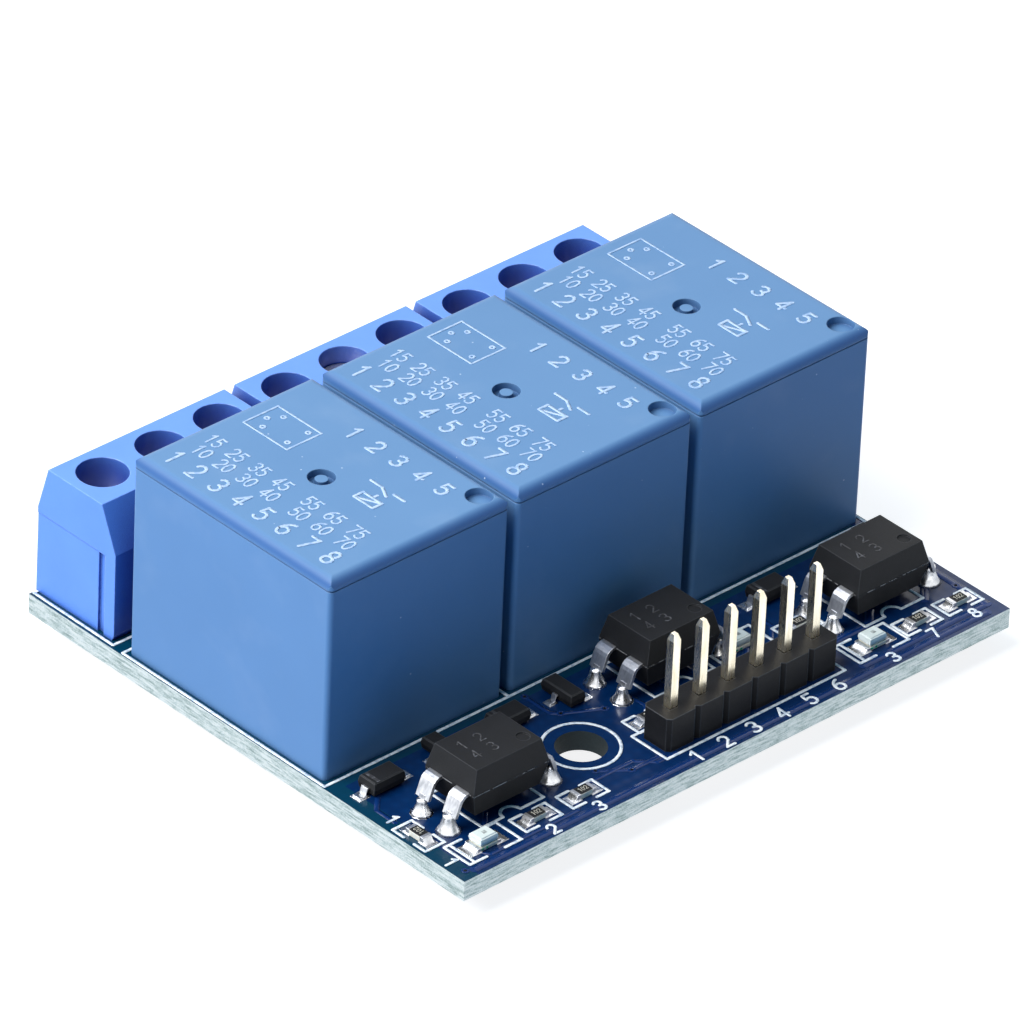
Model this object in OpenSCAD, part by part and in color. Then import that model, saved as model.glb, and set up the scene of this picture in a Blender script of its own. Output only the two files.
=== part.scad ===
// Three-channel relay module board: a printed circuit board that carries three sugar-cube
// relays, three 3-way rising-clamp terminal blocks, three 4-pin optocouplers, a 6-way pin
// header and the small surface-mount parts between them.
// Millimetres. +Z is up, +X runs along the row of relays and +Y points at the terminals.
// Z = 0 is the level of the tips of the longest solder pins, on which the board stands.

/* [Board] */
// Length of the strip in front of the relays, which holds the low-voltage parts
front_strip = 13.86; // [13.6:0.05:16]
// Margin between the outer channels and the board's ends
end_margin = 0.5; // [0.3:0.05:2]
// Gap between a relay and the terminal block behind it
rear_gap = 1.64; // [1:0.05:4]
// Board thickness
board_t = 1.5; // [1:0.1:2]
// Diameter of the mounting hole
mount_hole_d = 3.5; // [3:0.1:3.8]
// Distance of the mounting hole from the front edge
mount_hole_y = 6.33; // [6:0.05:7]
// Mounting hole, to the right of the first channel's centre
mount_hole_dx = 7.78; // [7.6:0.02:7.9]
// How far the longest solder pins reach below the board
pin_drop = 1.9; // [1.6:0.1:3]
// Clearance round a pin in its plated hole
hole_fit = 0.1; // [0.05:0.01:0.15]

/* [Relays] */
// Number of channels
channels = 3; // [3:1:3]
// Relay width, along the row
relay_w = 15.4; // [15:0.1:17]
// Relay length, towards the terminals
relay_l = 19; // [18.5:0.1:21]
// Relay height
relay_h = 15.35; // [15:0.05:18]
// Gap between neighbouring relays
relay_gap = 0.74; // [0.5:0.02:3]
// Wall of the relay's case
case_wall = 0.9; // [0.7:0.05:1]
// Radius of the case's top edges
case_edge_r = 0.7; // [0.4:0.05:0.8]
// Radius of the case's upright corners
case_corner_r = 0.35; // [0.2:0.05:0.6]
// Diameter of the moulding recesses in the case's top
recess_d = 1.88; // [1.2:0.02:2.2]
// Depth of the moulding recesses
recess_depth = 0.55; // [0.3:0.05:0.6]
// Thickness of the relay's base
base_t = 1.2; // [1:0.1:1.4]
// Height of the base above the board
base_lift = 0.6; // [0.4:0.1:0.8]
// Clearance between fitted pieces that stay still
seat_fit = 0.05; // [0.03:0.01:0.08]

/* [Relay mechanism] */
// Thickness of the yoke's steel
yoke_t = 1; // [0.8:0.05:1.2]
// Thickness of the winding
winding_t = 1.6; // [1.4:0.05:1.8]
// Thickness of the bobbin's tube and flanges
bobbin_t = 0.7; // [0.5:0.05:0.8]
// Gap between the winding and the pieces in front of and behind it
coil_gap = 0.6; // [0.5:0.05:0.9]
// Thickness of the armature
armature_t = 1; // [0.8:0.05:1.1]
// Angle by which the armature stands open when the coil is off
armature_angle = 3; // [2:0.1:3.2]
// Thickness of the contact blades
blade_t = 0.4; // [0.3:0.05:0.45]
// Diameter of the contact buttons
button_d = 1.7; // [1.4:0.1:1.9]
// Distance of the coil and contact pins from the relay's sides
pin_inset = 1.7; // [1.6:0.05:1.8]
// Distance of the common and contact pins from the relay's ends
end_inset = 2.4; // [2.2:0.05:2.5]
// From the common pin to the coil pins
coil_pin_offset = 2; // [1.8:0.1:2.2]
// Gap between the top contact and the case
head_gap = 0.15; // [0.1:0.01:0.3]

/* [Terminal blocks] */
// Spacing of the ways
pole_pitch = 5.08; // [5:0.01:5.2]
// Height of the housing
terminal_h = 10; // [9.9:0.1:12]
// Depth of the housing
terminal_d = 7.8; // [7.7:0.05:9]
// Diameter of the screwdriver hole
driver_hole_d = 3.55; // [3.4:0.05:3.6]
// Wall between the ways
way_wall = 1; // [0.9:0.02:1.1]
// Floor of the housing
terminal_floor = 0.8; // [0.6:0.05:0.9]
// Width of the wire entry
entry_w = 3.2; // [2.8:0.1:3.4]
// Height of the wire entry
entry_h = 3.2; // [2.8:0.1:3.4]
// Diameter of the screw's thread
screw_d = 2.5; // [2.2:0.05:2.6]
// Diameter of the screw's head
screw_head_d = 3.4; // [3.2:0.02:3.44]
// Depth of the screw's head below the housing's top
screw_depth = 2.4; // [2.3:0.05:2.5]
// Extra height of the one screw that stands backed out
backed_out = 1.1; // [0:0.05:1.2]
// Lift of the clamp when its screw is tightened
clamp_lift = 1.5; // [1:0.05:1.5]
// Thickness of the clamp's bottom bar
clamp_t = 0.7; // [0.6:0.05:0.75]
// Thickness of the clamp's sides
clamp_side = 0.5; // [0.4:0.05:0.55]
// Wall between the way and the housing's front
front_wall = 1.5; // [1.3:0.05:1.6]
// Wall between the way and the wire side
rear_wall = 1.1; // [0.9:0.05:1.2]
// Gap between the clamp and the contact's leg
leg_gap = 0.3; // [0.2:0.02:0.4]
// How far the screw stands in front of the clamp's middle
screw_shift = 0.2; // [0.1:0.02:0.25]
// Clearance round the clamp in its way
clamp_fit = 0.1; // [0.08:0.01:0.15]
// Thickness of the fixed contact strip
strip_t = 0.55; // [0.45:0.05:0.6]

/* [Optocouplers] */
// Body length, across the lead rows
opto_l = 6.5; // [6.2:0.05:6.6]
// Body width, along the lead rows
opto_w = 4.58; // [4.4:0.02:4.7]
// Body height
opto_h = 3.5; // [3.2:0.05:3.7]
// Height of the body above the board
opto_lift = 0.83; // [0.6:0.01:0.9]
// Distance between the feet of the two lead rows
opto_span = 8.84; // [8.6:0.02:8.9]
// Thickness of the lead frame
lead_t = 0.25; // [0.2:0.01:0.3]

/* [Pin header] */
// Number of pins
header_ways = 6; // [6:1:6]
// Pin spacing
header_pitch = 2.54; // [2.5:0.01:2.56]
// Height of the housing
header_h = 2.54; // [2.3:0.02:2.6]
// Depth of the housing
header_d = 2.54; // [2.4:0.02:2.6]
// Side of a square pin
pin_side = 0.64; // [0.6:0.01:0.66]
// Height of the pins above the housing
pin_reach = 5.65; // [5:0.05:7]
// Distance of the pins from the front edge
header_y = 3.42; // [3.4:0.02:3.5]

/* [Hidden] */
$fn = 48;
SCREW_NODES = [for (i = [1:channels], k = [1:3]) str("terminal_screw_", i, "_", k)];
CLAMP_NODES = [for (i = [1:channels], k = [1:3]) str("terminal_clamp_", i, "_", k)];

// Overlap that keeps a cut from ending flush with a face
cut = 0.5;

// --- Layout ---
ways = 3;
block_w = ways * pole_pitch;
channel_pitch = max(relay_w, block_w) + relay_gap;
board_w = 2 * end_margin + channel_pitch * (channels - 1) + max(relay_w, block_w);
board_d = front_strip + relay_l + rear_gap + terminal_d;
function channel_x(i) = end_margin + max(relay_w, block_w) / 2 + channel_pitch * i;
relay_y = front_strip + relay_l / 2;
terminal_y = board_d - terminal_d;
mount_hole_x = channel_x(0) + mount_hole_dx;

// --- Relay ---
inner_w = relay_w - 2 * case_wall;
inner_l = relay_l - 2 * case_wall;
seam_drop = 0.75;
seam_depth = 0.06;
seam_h = 0.1;
recess_edge_x = 1.34;
recess_edge_y = 1.45;
gate_nub_d = 0.9;
gate_nub_drop = 0.12;
base_top = base_lift + base_t;
relay_pin_span = relay_w - 2 * pin_inset;
common_y = -relay_l / 2 + end_inset;
coil_pin_y = common_y + coil_pin_offset;
contact_y = -common_y;
tail_w = 1;
contact_arm_w = 1.4;
contact_arm_over = 1.1;
partition_t = 0.6;
partition_gap = 1.2;
partition_y = contact_y - contact_arm_w / 2 - partition_gap - partition_t / 2;
yoke_lift = 0.2;
yoke_z = base_top + yoke_lift;
yoke_back = common_y + blade_t / 2 + seat_fit;
yoke_front = yoke_back + yoke_t;
winding_d = partition_y - partition_t / 2 - yoke_front - 2 * coil_gap;
flange_d = winding_d + coil_gap;
coil_y = yoke_front + coil_gap + winding_d / 2;
core_d = winding_d - 2 * (winding_t + bobbin_t + 2 * seat_fit);
yoke_w = winding_d;
pole_d = core_d + 2;
pole_t = 0.9;
hinge_gap = 0.06;
hinge_y = yoke_back + yoke_t / 2;
spring_t = 0.2;
spring_w = 3.6;
button_t = 0.8;
fixed_button_t = 0.35;
contact_gap = 0.09;
travel = (contact_y - hinge_y) * sin(armature_angle);
closed_arm_z = relay_h - case_wall - head_gap - blade_t;
button_z = closed_arm_z - fixed_button_t - contact_gap - travel - button_t;
open_arm_z = button_z - contact_gap - fixed_button_t - blade_t;
spring_z = button_z + button_t / 2 - spring_t / 2;
hinge_z = spring_z - armature_t;
pole_top = hinge_z - hinge_gap;
pole_z = pole_top - pole_t;
bobbin_z = yoke_z + yoke_t + seat_fit;
bobbin_l = pole_z - seat_fit - bobbin_z;
armature_l = coil_y + pole_d / 2 + 0.4 - yoke_back;
rivet_d = 1.1;
rivet_h = 0.25;

// --- Terminal block ---
way_w = pole_pitch - way_wall;
top_front = 1.43;
top_back = 1.06;
shoulder_z = 6.7;
foot_z = 0.4;
clamp_w = way_w - 2 * clamp_fit;
way_y0 = front_wall;
way_y1 = terminal_d - rear_wall;
leg_fit = 0.03;
leg_y = way_y0 + strip_t / 2 + leg_fit;
clamp_y0 = leg_y + strip_t / 2 + leg_gap;
clamp_y1 = way_y1 - clamp_fit;
clamp_l = clamp_y1 - clamp_y0;
clamp_y = (clamp_y0 + clamp_y1) / 2;
screw_y = clamp_y - screw_shift;
clamp_z = terminal_floor + clamp_fit;
head_h = 1.15;
head_top = terminal_h - screw_depth;
head_z = head_top - head_h;
clamp_h = head_z - clamp_fit - clamp_lift - clamp_z;
clamp_roof = 0.9;
clamp_corner_r = 0.3;
thread_fit = 0.1;
strip_gap = 0.06;
strip_top = clamp_z + clamp_h - clamp_roof - strip_gap;
window_w = clamp_w - 2 * clamp_side;
strip_w = window_w - 2 * clamp_fit;
roof_z = head_z + clamp_fit;
end_groove_y = 1;
end_groove_w = 0.65;
end_groove_depth = 0.25;
tongue_fit = 0.06;
end_step_z = 6.24;
end_step = 0.05;
head_slot_w = 0.6;
head_slot_depth = 0.6;

// --- Optocouplers, as [x from the channel's centre, y from the front edge] ---
OPTOS = [[-0.77, 6.1], [1.66, 9.75], [1.82, 6.95]];
lead_pitch = 2.54;
opto_mid = opto_lift + opto_h / 2;
opto_draft_x = 0.45;
opto_draft_y = 0.3;
shoulder_w = 1.2;
tail_side = 0.5;
shoulder_drop = 1.45;
lead_bend = 0.52;
dot_d = 0.95;
dot_depth = 0.12;
dot_x = 1.2;
dot_y = 1.26;

// --- Header ---
header_dx = 3.34;
header_x = channel_x(1) - header_dx;
header_chamfer = 0.27;
tail_drop = pin_drop - 0.3;
point_l = 0.5;

// --- Small parts, as [x from a channel's centre, y from the front edge, channel, turn] ---
LAMPS = [[-4.47, 2.33, 0, 0], [-1.73, 2.85, 2, 0], [7.4, 8.3, 1, 0]];
RESISTORS = [[0.08, 2.3, 0, 0], [4.16, 2.3, 0, 0], [2.29, 2.72, 2, 0], [6.02, 2.7, 2, 0],
             [-2.89, 5.8, 1, 0], [-7.08, 5.55, 0, 90], [-4.08, 7.4, 2, 0],
             [10.3, 6, 1, 0]];
DIODES = [[-5.15, 11.2, 0, 0], [5.8, 11.2, 0, 0], [-3.18, 11.2, 2, 0]];
TRANSISTORS = [[0.2, 11.25, 0, 0], [-5.44, 11.2, 1, 0], [6.3, 11.2, 2, 0]];
foil_t = 0.14;
lead_root = 0.2;
body_draft = 0.1;
lamp_l = 2;
lamp_w = 1.25;
lamp_h = 0.8;
lamp_base_h = 0.3;
lamp_lens_l = 1.4;
lamp_lens_w = 1.15;
lamp_draft = 0.1;
chip_l = 1.6;
chip_w = 0.8;
chip_h = 0.46;
chip_end = 0.3;
chip_skin = 0.04;
diode_l = 2.7;
diode_w = 1.6;
diode_h = 1.1;
diode_reach = 0.6;
diode_lead_w = 0.6;
transistor_l = 2.9;
transistor_w = 1.3;
transistor_h = 1;
transistor_pitch = 0.95;
transistor_reach = 0.55;
transistor_lead_w = 0.42;

// --- Helpers ---
function unit(v) = v / norm(v);
function normal(v) = [-v[1], v[0]];
function bend(a, p, b, r, n) = let (s = p + r * unit(a - p), e = p + r * unit(b - p))
    [for (i = [0:n]) let (t = i / n) (1 - t) * (1 - t) * s + 2 * t * (1 - t) * p + t * t * e];
// A path with each inner corner rounded over a length r
function rounded(path, r, n = 4) = [for (i = [0:len(path) - 1])
    each (i == 0 || i == len(path) - 1) ? [path[i]] : bend(path[i - 1], path[i], path[i + 1], r, n)];
function side_normal(path, i) = let (last = len(path) - 1,
    before = normal(unit(path[max(i, 1)] - path[max(i, 1) - 1])),
    after = normal(unit(path[min(i + 1, last)] - path[min(i + 1, last) - 1])),
    mean = unit(before + after)) mean / (mean * after);
// The outline of a strip of thickness t that follows a path
function strip(path, t) = concat(
    [for (i = [0:len(path) - 1]) path[i] + side_normal(path, i) * t / 2],
    [for (i = [len(path) - 1:-1:0]) path[i] - side_normal(path, i) * t / 2]);

// Shifts the local frame, whose zero is the board's front left corner on its top face
module on_board(x = 0, y = 0, z = 0) {
    translate([x - board_w / 2, y - board_d / 2, z + pin_drop + board_t]) children();
}

module block(size, at) {
    translate([at[0] - size[0] / 2, at[1] - size[1] / 2, at[2]]) cube(size);
}

// Stands a profile drawn in Y and Z upright and gives it a thickness along X
module extrude_x(w) {
    rotate([90, 0, 90]) translate([0, 0, -w / 2]) linear_extrude(w) children();
}

// Stands a profile drawn in X and Z upright and gives it a thickness along Y
module extrude_y(w) {
    rotate([90, 0, 0]) translate([0, 0, -w / 2]) linear_extrude(w) children();
}

module rounded_rectangle(w, l, r) {
    square([w - 2 * r, l], center = true);
    square([w, l - 2 * r], center = true);
    for (x = [-1, 1], y = [-1, 1]) translate([x * (w / 2 - r), y * (l / 2 - r)]) circle(r);
}

module top_rounded(w, h, r) {
    translate([-w / 2, 0]) square([w, h - r]);
    translate([-w / 2 + r, 0]) square([w - 2 * r, h]);
    for (x = [-1, 1]) translate([x * (w / 2 - r), h - r]) circle(r);
}

// --- Circuit board ---
opto_hole_d = norm([tail_side, lead_t]) + 2 * hole_fit;
header_hole_d = norm([pin_side, pin_side]) + 2 * hole_fit;
relay_hole_d = norm([tail_w, blade_t]) + 2 * hole_fit;
strip_leg_w = 1;
strip_hole_d = norm([strip_leg_w, strip_t]) + 2 * hole_fit;
relay_pin_places = [[0, common_y], [-relay_pin_span / 2, coil_pin_y],
    [relay_pin_span / 2, coil_pin_y], [-relay_pin_span / 2, contact_y],
    [relay_pin_span / 2, contact_y]];
function way_x(k) = (k - (ways - 1) / 2) * pole_pitch;

module pin_hole(x, y, d) {
    translate([x, y, -board_t - cut]) cylinder(h = board_t + 2 * cut, d = d);
}

module board() {
    color("midnightblue") on_board() difference() {
        translate([0, 0, -board_t]) cube([board_w, board_d, board_t]);
        pin_hole(mount_hole_x, mount_hole_y, mount_hole_d);
        for (i = [0:channels - 1]) {
            for (p = relay_pin_places)
                pin_hole(channel_x(i) + p[0], relay_y + p[1], relay_hole_d);
            for (k = [0:ways - 1])
                pin_hole(channel_x(i) + way_x(k), terminal_y + leg_y, strip_hole_d);
            for (sx = [-1, 1], sy = [-1, 1])
                pin_hole(channel_x(i) + OPTOS[i][0] + sx * opto_span / 2,
                    OPTOS[i][1] + sy * lead_pitch / 2, opto_hole_d);
        }
        for (k = [0:header_ways - 1])
            pin_hole(header_x + k * header_pitch, header_y, header_hole_d);
    }
}

// --- Relay: case, base, pins and mechanism, drawn round the middle of its footprint ---
module relay_place(i) {
    on_board(channel_x(i), relay_y) children();
}

module relay_case(i) {
    color("cornflowerblue") relay_place(i) difference() {
        intersection() {
            linear_extrude(relay_h) rounded_rectangle(relay_w, relay_l, case_corner_r);
            extrude_y(relay_l + 2 * cut) top_rounded(relay_w, relay_h, case_edge_r);
            extrude_x(relay_w + 2 * cut) top_rounded(relay_l, relay_h, case_edge_r);
        }
        block([inner_w, inner_l, relay_h - case_wall + cut], [0, 0, -cut]);
        translate([0, 0, relay_h - seam_drop - seam_h]) seam_cutter();
        translate([relay_w / 2 - recess_edge_x, -relay_l / 2 + recess_edge_y, relay_h - recess_depth])
            cylinder(h = recess_depth + cut, d = recess_d);
        translate([0, 0, relay_h - recess_depth]) difference() {
            cylinder(h = recess_depth + cut, d = recess_d);
            translate([0, 0, -cut])
                cylinder(h = recess_depth + cut - gate_nub_drop, d = gate_nub_d);
        }
    }
}

// The fine line round the case where the top half of the mould met the lower half
module seam_cutter() {
    linear_extrude(seam_h) difference() {
        square([relay_w + cut, relay_l + cut], center = true);
        rounded_rectangle(relay_w - 2 * seam_depth, relay_l - 2 * seam_depth, case_corner_r);
    }
}

module relay_base(i) {
    color("royalblue") relay_place(i) difference() {
        union() {
            block([inner_w - 2 * seat_fit, inner_l - 2 * seat_fit, base_t], [0, 0, base_lift]);
            block([yoke_w, partition_t, bobbin_l], [0, partition_y, base_top]);
        }
        for (p = relay_pin_places)
            block([(p[0] == 0 ? tail_w : blade_t) + 2 * seat_fit,
                   (p[0] == 0 ? blade_t : tail_w) + 2 * seat_fit, base_top + cut],
                [p[0], p[1], 0]);
    }
}

module solder_tail(across, top) {
    block([across ? tail_w : blade_t, across ? blade_t : tail_w, pin_drop + board_t + top],
        [0, 0, -pin_drop - board_t]);
}

module fixed_contact(side, arm_z, button_at) {
    x = relay_pin_span / 2;
    arm_l = x + blade_t / 2 + contact_arm_over;
    translate([side * x, contact_y, 0]) {
        solder_tail(false, base_top);
        block([blade_t, contact_arm_w, arm_z + blade_t - base_top], [0, 0, base_top]);
    }
    translate([side > 0 ? -contact_arm_over : -arm_l + contact_arm_over,
               contact_y - contact_arm_w / 2, arm_z])
        cube([arm_l, contact_arm_w, blade_t]);
    translate([0, contact_y, button_at]) cylinder(h = fixed_button_t, d = button_d);
}

module relay_pins(i) {
    color("goldenrod") relay_place(i) {
        translate([0, common_y, 0]) {
            solder_tail(true, base_top);
            block([spring_w, blade_t, pole_top - base_top - yoke_t], [0, 0, base_top]);
        }
        for (side = [-1, 1])
            translate([side * relay_pin_span / 2, coil_pin_y, 0]) solder_tail(false, base_top + 1);
        fixed_contact(-1, open_arm_z, open_arm_z + blade_t);
        fixed_contact(1, closed_arm_z, closed_arm_z - fixed_button_t);
    }
}

module relay_yoke(i) {
    foot_l = coil_y + pole_d / 2 - yoke_back;
    color("silver") relay_place(i) {
        translate([-yoke_w / 2, yoke_back, yoke_z]) {
            cube([yoke_w, yoke_t, pole_top - yoke_z]);
            cube([yoke_w, foot_l, yoke_t]);
        }
        translate([0, coil_y, yoke_z + yoke_t / 2])
            cylinder(h = pole_top - yoke_z - yoke_t / 2, d = core_d);
        translate([0, coil_y, pole_z]) cylinder(h = pole_t, d = pole_d);
    }
}

module relay_bobbin(i) {
    color("ivory") relay_place(i) translate([0, coil_y, bobbin_z]) difference() {
        union() {
            cylinder(h = bobbin_l, d = core_d + 2 * (seat_fit + bobbin_t));
            for (z = [0, bobbin_l - bobbin_t]) block([flange_d, flange_d, bobbin_t], [0, 0, z]);
        }
        translate([0, 0, -cut]) cylinder(h = bobbin_l + 2 * cut, d = core_d + 2 * seat_fit);
    }
}

module relay_winding(i) {
    color("firebrick") relay_place(i) translate([0, coil_y, bobbin_z + bobbin_t + seat_fit])
        difference() {
            cylinder(h = bobbin_l - 2 * (bobbin_t + seat_fit), d = winding_d);
            translate([0, 0, -cut]) cylinder(h = bobbin_l + cut, d = winding_d - 2 * winding_t);
        }
}

// The armature, its riveted contact spring and the moving button, standing open at rest
module relay_armature(i) {
    spring_l = contact_y + button_d / 2 + 0.3 - hinge_y - yoke_t;
    color("gray") relay_place(i) translate([0, hinge_y, hinge_z]) rotate([armature_angle, 0, 0]) {
        translate([-yoke_w / 2, -yoke_t / 2, 0]) cube([yoke_w, armature_l, armature_t]);
        translate([-spring_w / 2, yoke_t, armature_t]) cube([spring_w, spring_l, spring_t]);
        translate([0, contact_y - hinge_y, button_z - hinge_z]) cylinder(h = button_t, d = button_d);
        for (y = [0.35, 0.7]) translate([0, armature_l * y, armature_t])
            cylinder(h = spring_t + rivet_h, d = rivet_d);
    }
}

// --- Terminal block, drawn round the middle of its front edge ---
module terminal_place(i) {
    on_board(channel_x(i), terminal_y) children();
}

module terminal_profile() {
    polygon([[0.2, 0], [terminal_d, 0], [terminal_d, foot_z], [terminal_d - 0.1, shoulder_z],
             [terminal_d - top_back, terminal_h], [top_front, terminal_h],
             [0, shoulder_z], [0, foot_z]]);
}

module terminal_way() {
    block([way_w, way_y1 - way_y0, roof_z - terminal_floor],
        [0, (way_y0 + way_y1) / 2, terminal_floor]);
    translate([0, screw_y, roof_z - cut]) cylinder(h = terminal_h - roof_z + 2 * cut, d = driver_hole_d);
    block([entry_w, terminal_d - way_y1 + cut, entry_h],
        [0, (way_y1 + terminal_d + cut) / 2, clamp_z + clamp_fit]);
    block([strip_leg_w + 2 * seat_fit, strip_t + 2 * seat_fit, terminal_floor + 2 * cut],
        [0, leg_y, -cut]);
}

module terminal_housing(i) {
    groove_mid = end_groove_y + end_groove_w / 2;
    color("royalblue") terminal_place(i) {
        difference() {
            extrude_x(block_w) terminal_profile();
            for (k = [0:ways - 1]) translate([way_x(k), 0, 0]) terminal_way();
            block([2 * end_groove_depth, end_groove_w, end_step_z + cut],
                [-block_w / 2, groove_mid, -cut]);
            block([2 * end_step, terminal_d - end_groove_y, end_step_z + cut],
                [-block_w / 2, (terminal_d + end_groove_y) / 2 + cut, -cut]);
        }
        block([end_groove_depth, end_groove_w - 2 * tongue_fit, end_step_z - tongue_fit],
            [block_w / 2 + end_groove_depth / 2 - tongue_fit, groove_mid, 0]);
    }
}

// Each fixed contact is one bent strip: the plate above the wire, then the solder leg
module terminal_contacts(i) {
    plate_z = strip_top - strip_t / 2;
    plate_end = clamp_y1 - clamp_t;
    color("lightgray") terminal_place(i) for (k = [0:ways - 1]) translate([way_x(k), 0, 0]) {
        extrude_x(strip_w) polygon(strip(rounded([[plate_end, plate_z], [leg_y, plate_z],
            [leg_y, terminal_floor + 0.1]], 0.5), strip_t));
        block([strip_leg_w, strip_t, pin_drop + board_t + terminal_floor + 1],
            [0, leg_y, -pin_drop - board_t]);
    }
}

module terminal_screw(i, k) {
    lift = (i == 1 && k == 1) ? backed_out : 0;
    color("silver") terminal_place(i) translate([way_x(k), screw_y, lift]) difference() {
        union() {
            translate([0, 0, head_z]) cylinder(h = head_h, d = screw_head_d);
            translate([0, 0, strip_top + strip_gap])
                cylinder(h = head_z - strip_top, d = screw_d);
        }
        block([screw_head_d + cut, head_slot_w, head_slot_depth + cut],
            [0, 0, head_top - head_slot_depth]);
    }
}

module terminal_clamp(i, k) {
    color("gainsboro") terminal_place(i) translate([way_x(k), clamp_y, clamp_z]) difference() {
        extrude_y(clamp_l) difference() {
            translate([0, clamp_h / 2]) rounded_rectangle(clamp_w, clamp_h, clamp_corner_r);
            translate([-window_w / 2, clamp_t])
                square([window_w, clamp_h - clamp_t - clamp_roof]);
        }
        translate([0, -screw_shift, clamp_h - clamp_roof - cut])
            cylinder(h = clamp_roof + 2 * cut, d = screw_d + thread_fit);
    }
}

// --- Optocouplers, drawn round the middle of the body ---
module opto_place(i) {
    on_board(channel_x(i) + OPTOS[i][0], OPTOS[i][1]) children();
}

// The upright section of a moulded body that is widest along a band at its middle
module drafted_profile(w, inset, low, h, band) {
    mid = low + h / 2;
    polygon([[-w / 2 + inset, low], [w / 2 - inset, low], [w / 2, mid - band / 2],
             [w / 2, mid + band / 2], [w / 2 - inset, low + h], [-w / 2 + inset, low + h],
             [-w / 2, mid + band / 2], [-w / 2, mid - band / 2]]);
}

module optocoupler(i) {
    color("dimgray") opto_place(i) difference() {
        intersection() {
            extrude_y(opto_w) drafted_profile(opto_l, opto_draft_x, opto_lift, opto_h, lead_t);
            extrude_x(opto_l) drafted_profile(opto_w, opto_draft_y, opto_lift, opto_h, lead_t);
        }
        translate([opto_l / 2 - dot_x, -opto_w / 2 + dot_y, opto_lift + opto_h - dot_depth])
            cylinder(h = dot_depth + cut, d = dot_d);
    }
}

module optocoupler_leads(i) {
    foot_x = opto_span / 2;
    shoulder_z1 = opto_mid - shoulder_drop;
    knee_x = opto_l / 2 + 0.55;
    path = [[opto_l / 2, opto_mid], [knee_x, opto_mid],
            [foot_x - 0.1, shoulder_z1], [foot_x, 0], [foot_x, -board_t - tail_drop]];
    color("silver") opto_place(i) for (side = [0, 1], row = [-1, 1])
        mirror([side, 0, 0]) translate([0, row * lead_pitch / 2, 0]) {
            extrude_y(shoulder_w)
                polygon(strip(rounded([path[0], path[1], path[2]], lead_bend), lead_t));
            extrude_y(tail_side) polygon(strip([path[2] + [-0.05, 0.3], path[2], path[3], path[4]], lead_t));
        }
}

// --- Pin header ---
module header_place() {
    on_board(header_x, header_y) children();
}

module header_housing() {
    c = header_chamfer;
    w = header_pitch;
    color("black") header_place() linear_extrude(header_h) difference() {
        for (k = [0:header_ways - 1]) translate([k * w, 0])
            polygon([[-w / 2, -header_d / 2 + c], [-w / 2 + c, -header_d / 2],
                     [w / 2 - c, -header_d / 2], [w / 2, -header_d / 2 + c],
                     [w / 2, header_d / 2 - c], [w / 2 - c, header_d / 2],
                     [-w / 2 + c, header_d / 2], [-w / 2, header_d / 2 - c]]);
        for (k = [0:header_ways - 1]) translate([k * w, 0])
            square(pin_side + 2 * seat_fit, center = true);
    }
}

module pin_profile() {
    s = pin_side / 2;
    low = -board_t - tail_drop;
    high = header_h + pin_reach;
    polygon([[-s / 2, low], [s / 2, low], [s, low + point_l], [s, high - point_l],
             [s / 2, high], [-s / 2, high], [-s, high - point_l], [-s, low + point_l]]);
}

module header_pins() {
    color("gold") header_place() for (k = [0:header_ways - 1]) translate([k * header_pitch, 0, 0])
        intersection() {
            extrude_x(pin_side) pin_profile();
            extrude_y(pin_side) pin_profile();
        }
}

// --- Small surface-mount parts ---
module small_part(p) {
    on_board(channel_x(p[2]) + p[0], p[1]) rotate(p[3]) children();
}

// A moulded body whose four sides lean in by the draft above and below its middle
module moulded_body(l, w, h, lift, draft) {
    intersection() {
        extrude_y(w) drafted_profile(l, draft, lift, h, foil_t);
        extrude_x(l) drafted_profile(w, draft, lift, h, foil_t);
    }
}

// A flat lead that leaves a body at its middle and steps down to a foot on the board
module gull_lead(body_l, reach, w, h) {
    extrude_y(w) polygon(strip([[body_l / 2 - lead_root, h], [body_l / 2 + reach * 0.2, h],
        [body_l / 2 + reach * 0.4, foil_t / 2], [body_l / 2 + reach, foil_t / 2]], foil_t));
}

module indicator_lamps() {
    color("white") for (p = LAMPS) small_part(p) {
        block([lamp_l, lamp_w, lamp_base_h], [0, 0, 0]);
        intersection() {
            extrude_y(lamp_w) taper_profile(lamp_lens_l, lamp_h);
            extrude_x(lamp_l) taper_profile(lamp_lens_w, lamp_h);
        }
    }
}

module taper_profile(w, h) {
    polygon([[-w / 2, 0], [w / 2, 0], [w / 2 - lamp_draft, h], [-w / 2 + lamp_draft, h]]);
}

module chip_resistors() {
    color("black") for (p = RESISTORS) small_part(p) {
        block([chip_l - chip_skin, chip_w - chip_skin, chip_h - chip_skin], [0, 0, chip_skin / 2]);
        for (side = [-1, 1])
            block([chip_end, chip_w, chip_h], [side * (chip_l - chip_end) / 2, 0, 0]);
    }
}

module diodes() {
    color("black") for (p = DIODES) small_part(p) {
        moulded_body(diode_l, diode_w, diode_h, foil_t, body_draft);
        for (side = [0, 1])
            mirror([side, 0, 0]) gull_lead(diode_l, diode_reach, diode_lead_w, diode_h / 2);
    }
}

module transistors() {
    legs = [[0, transistor_pitch], [0, -transistor_pitch], [1, 0]];
    color("black") for (p = TRANSISTORS) small_part(p) {
        moulded_body(transistor_w, transistor_l, transistor_h, foil_t, body_draft);
        for (leg = legs) translate([0, leg[1], 0]) mirror([leg[0], 0, 0])
            gull_lead(transistor_w, transistor_reach, transistor_lead_w, transistor_h / 2);
    }
}

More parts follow.
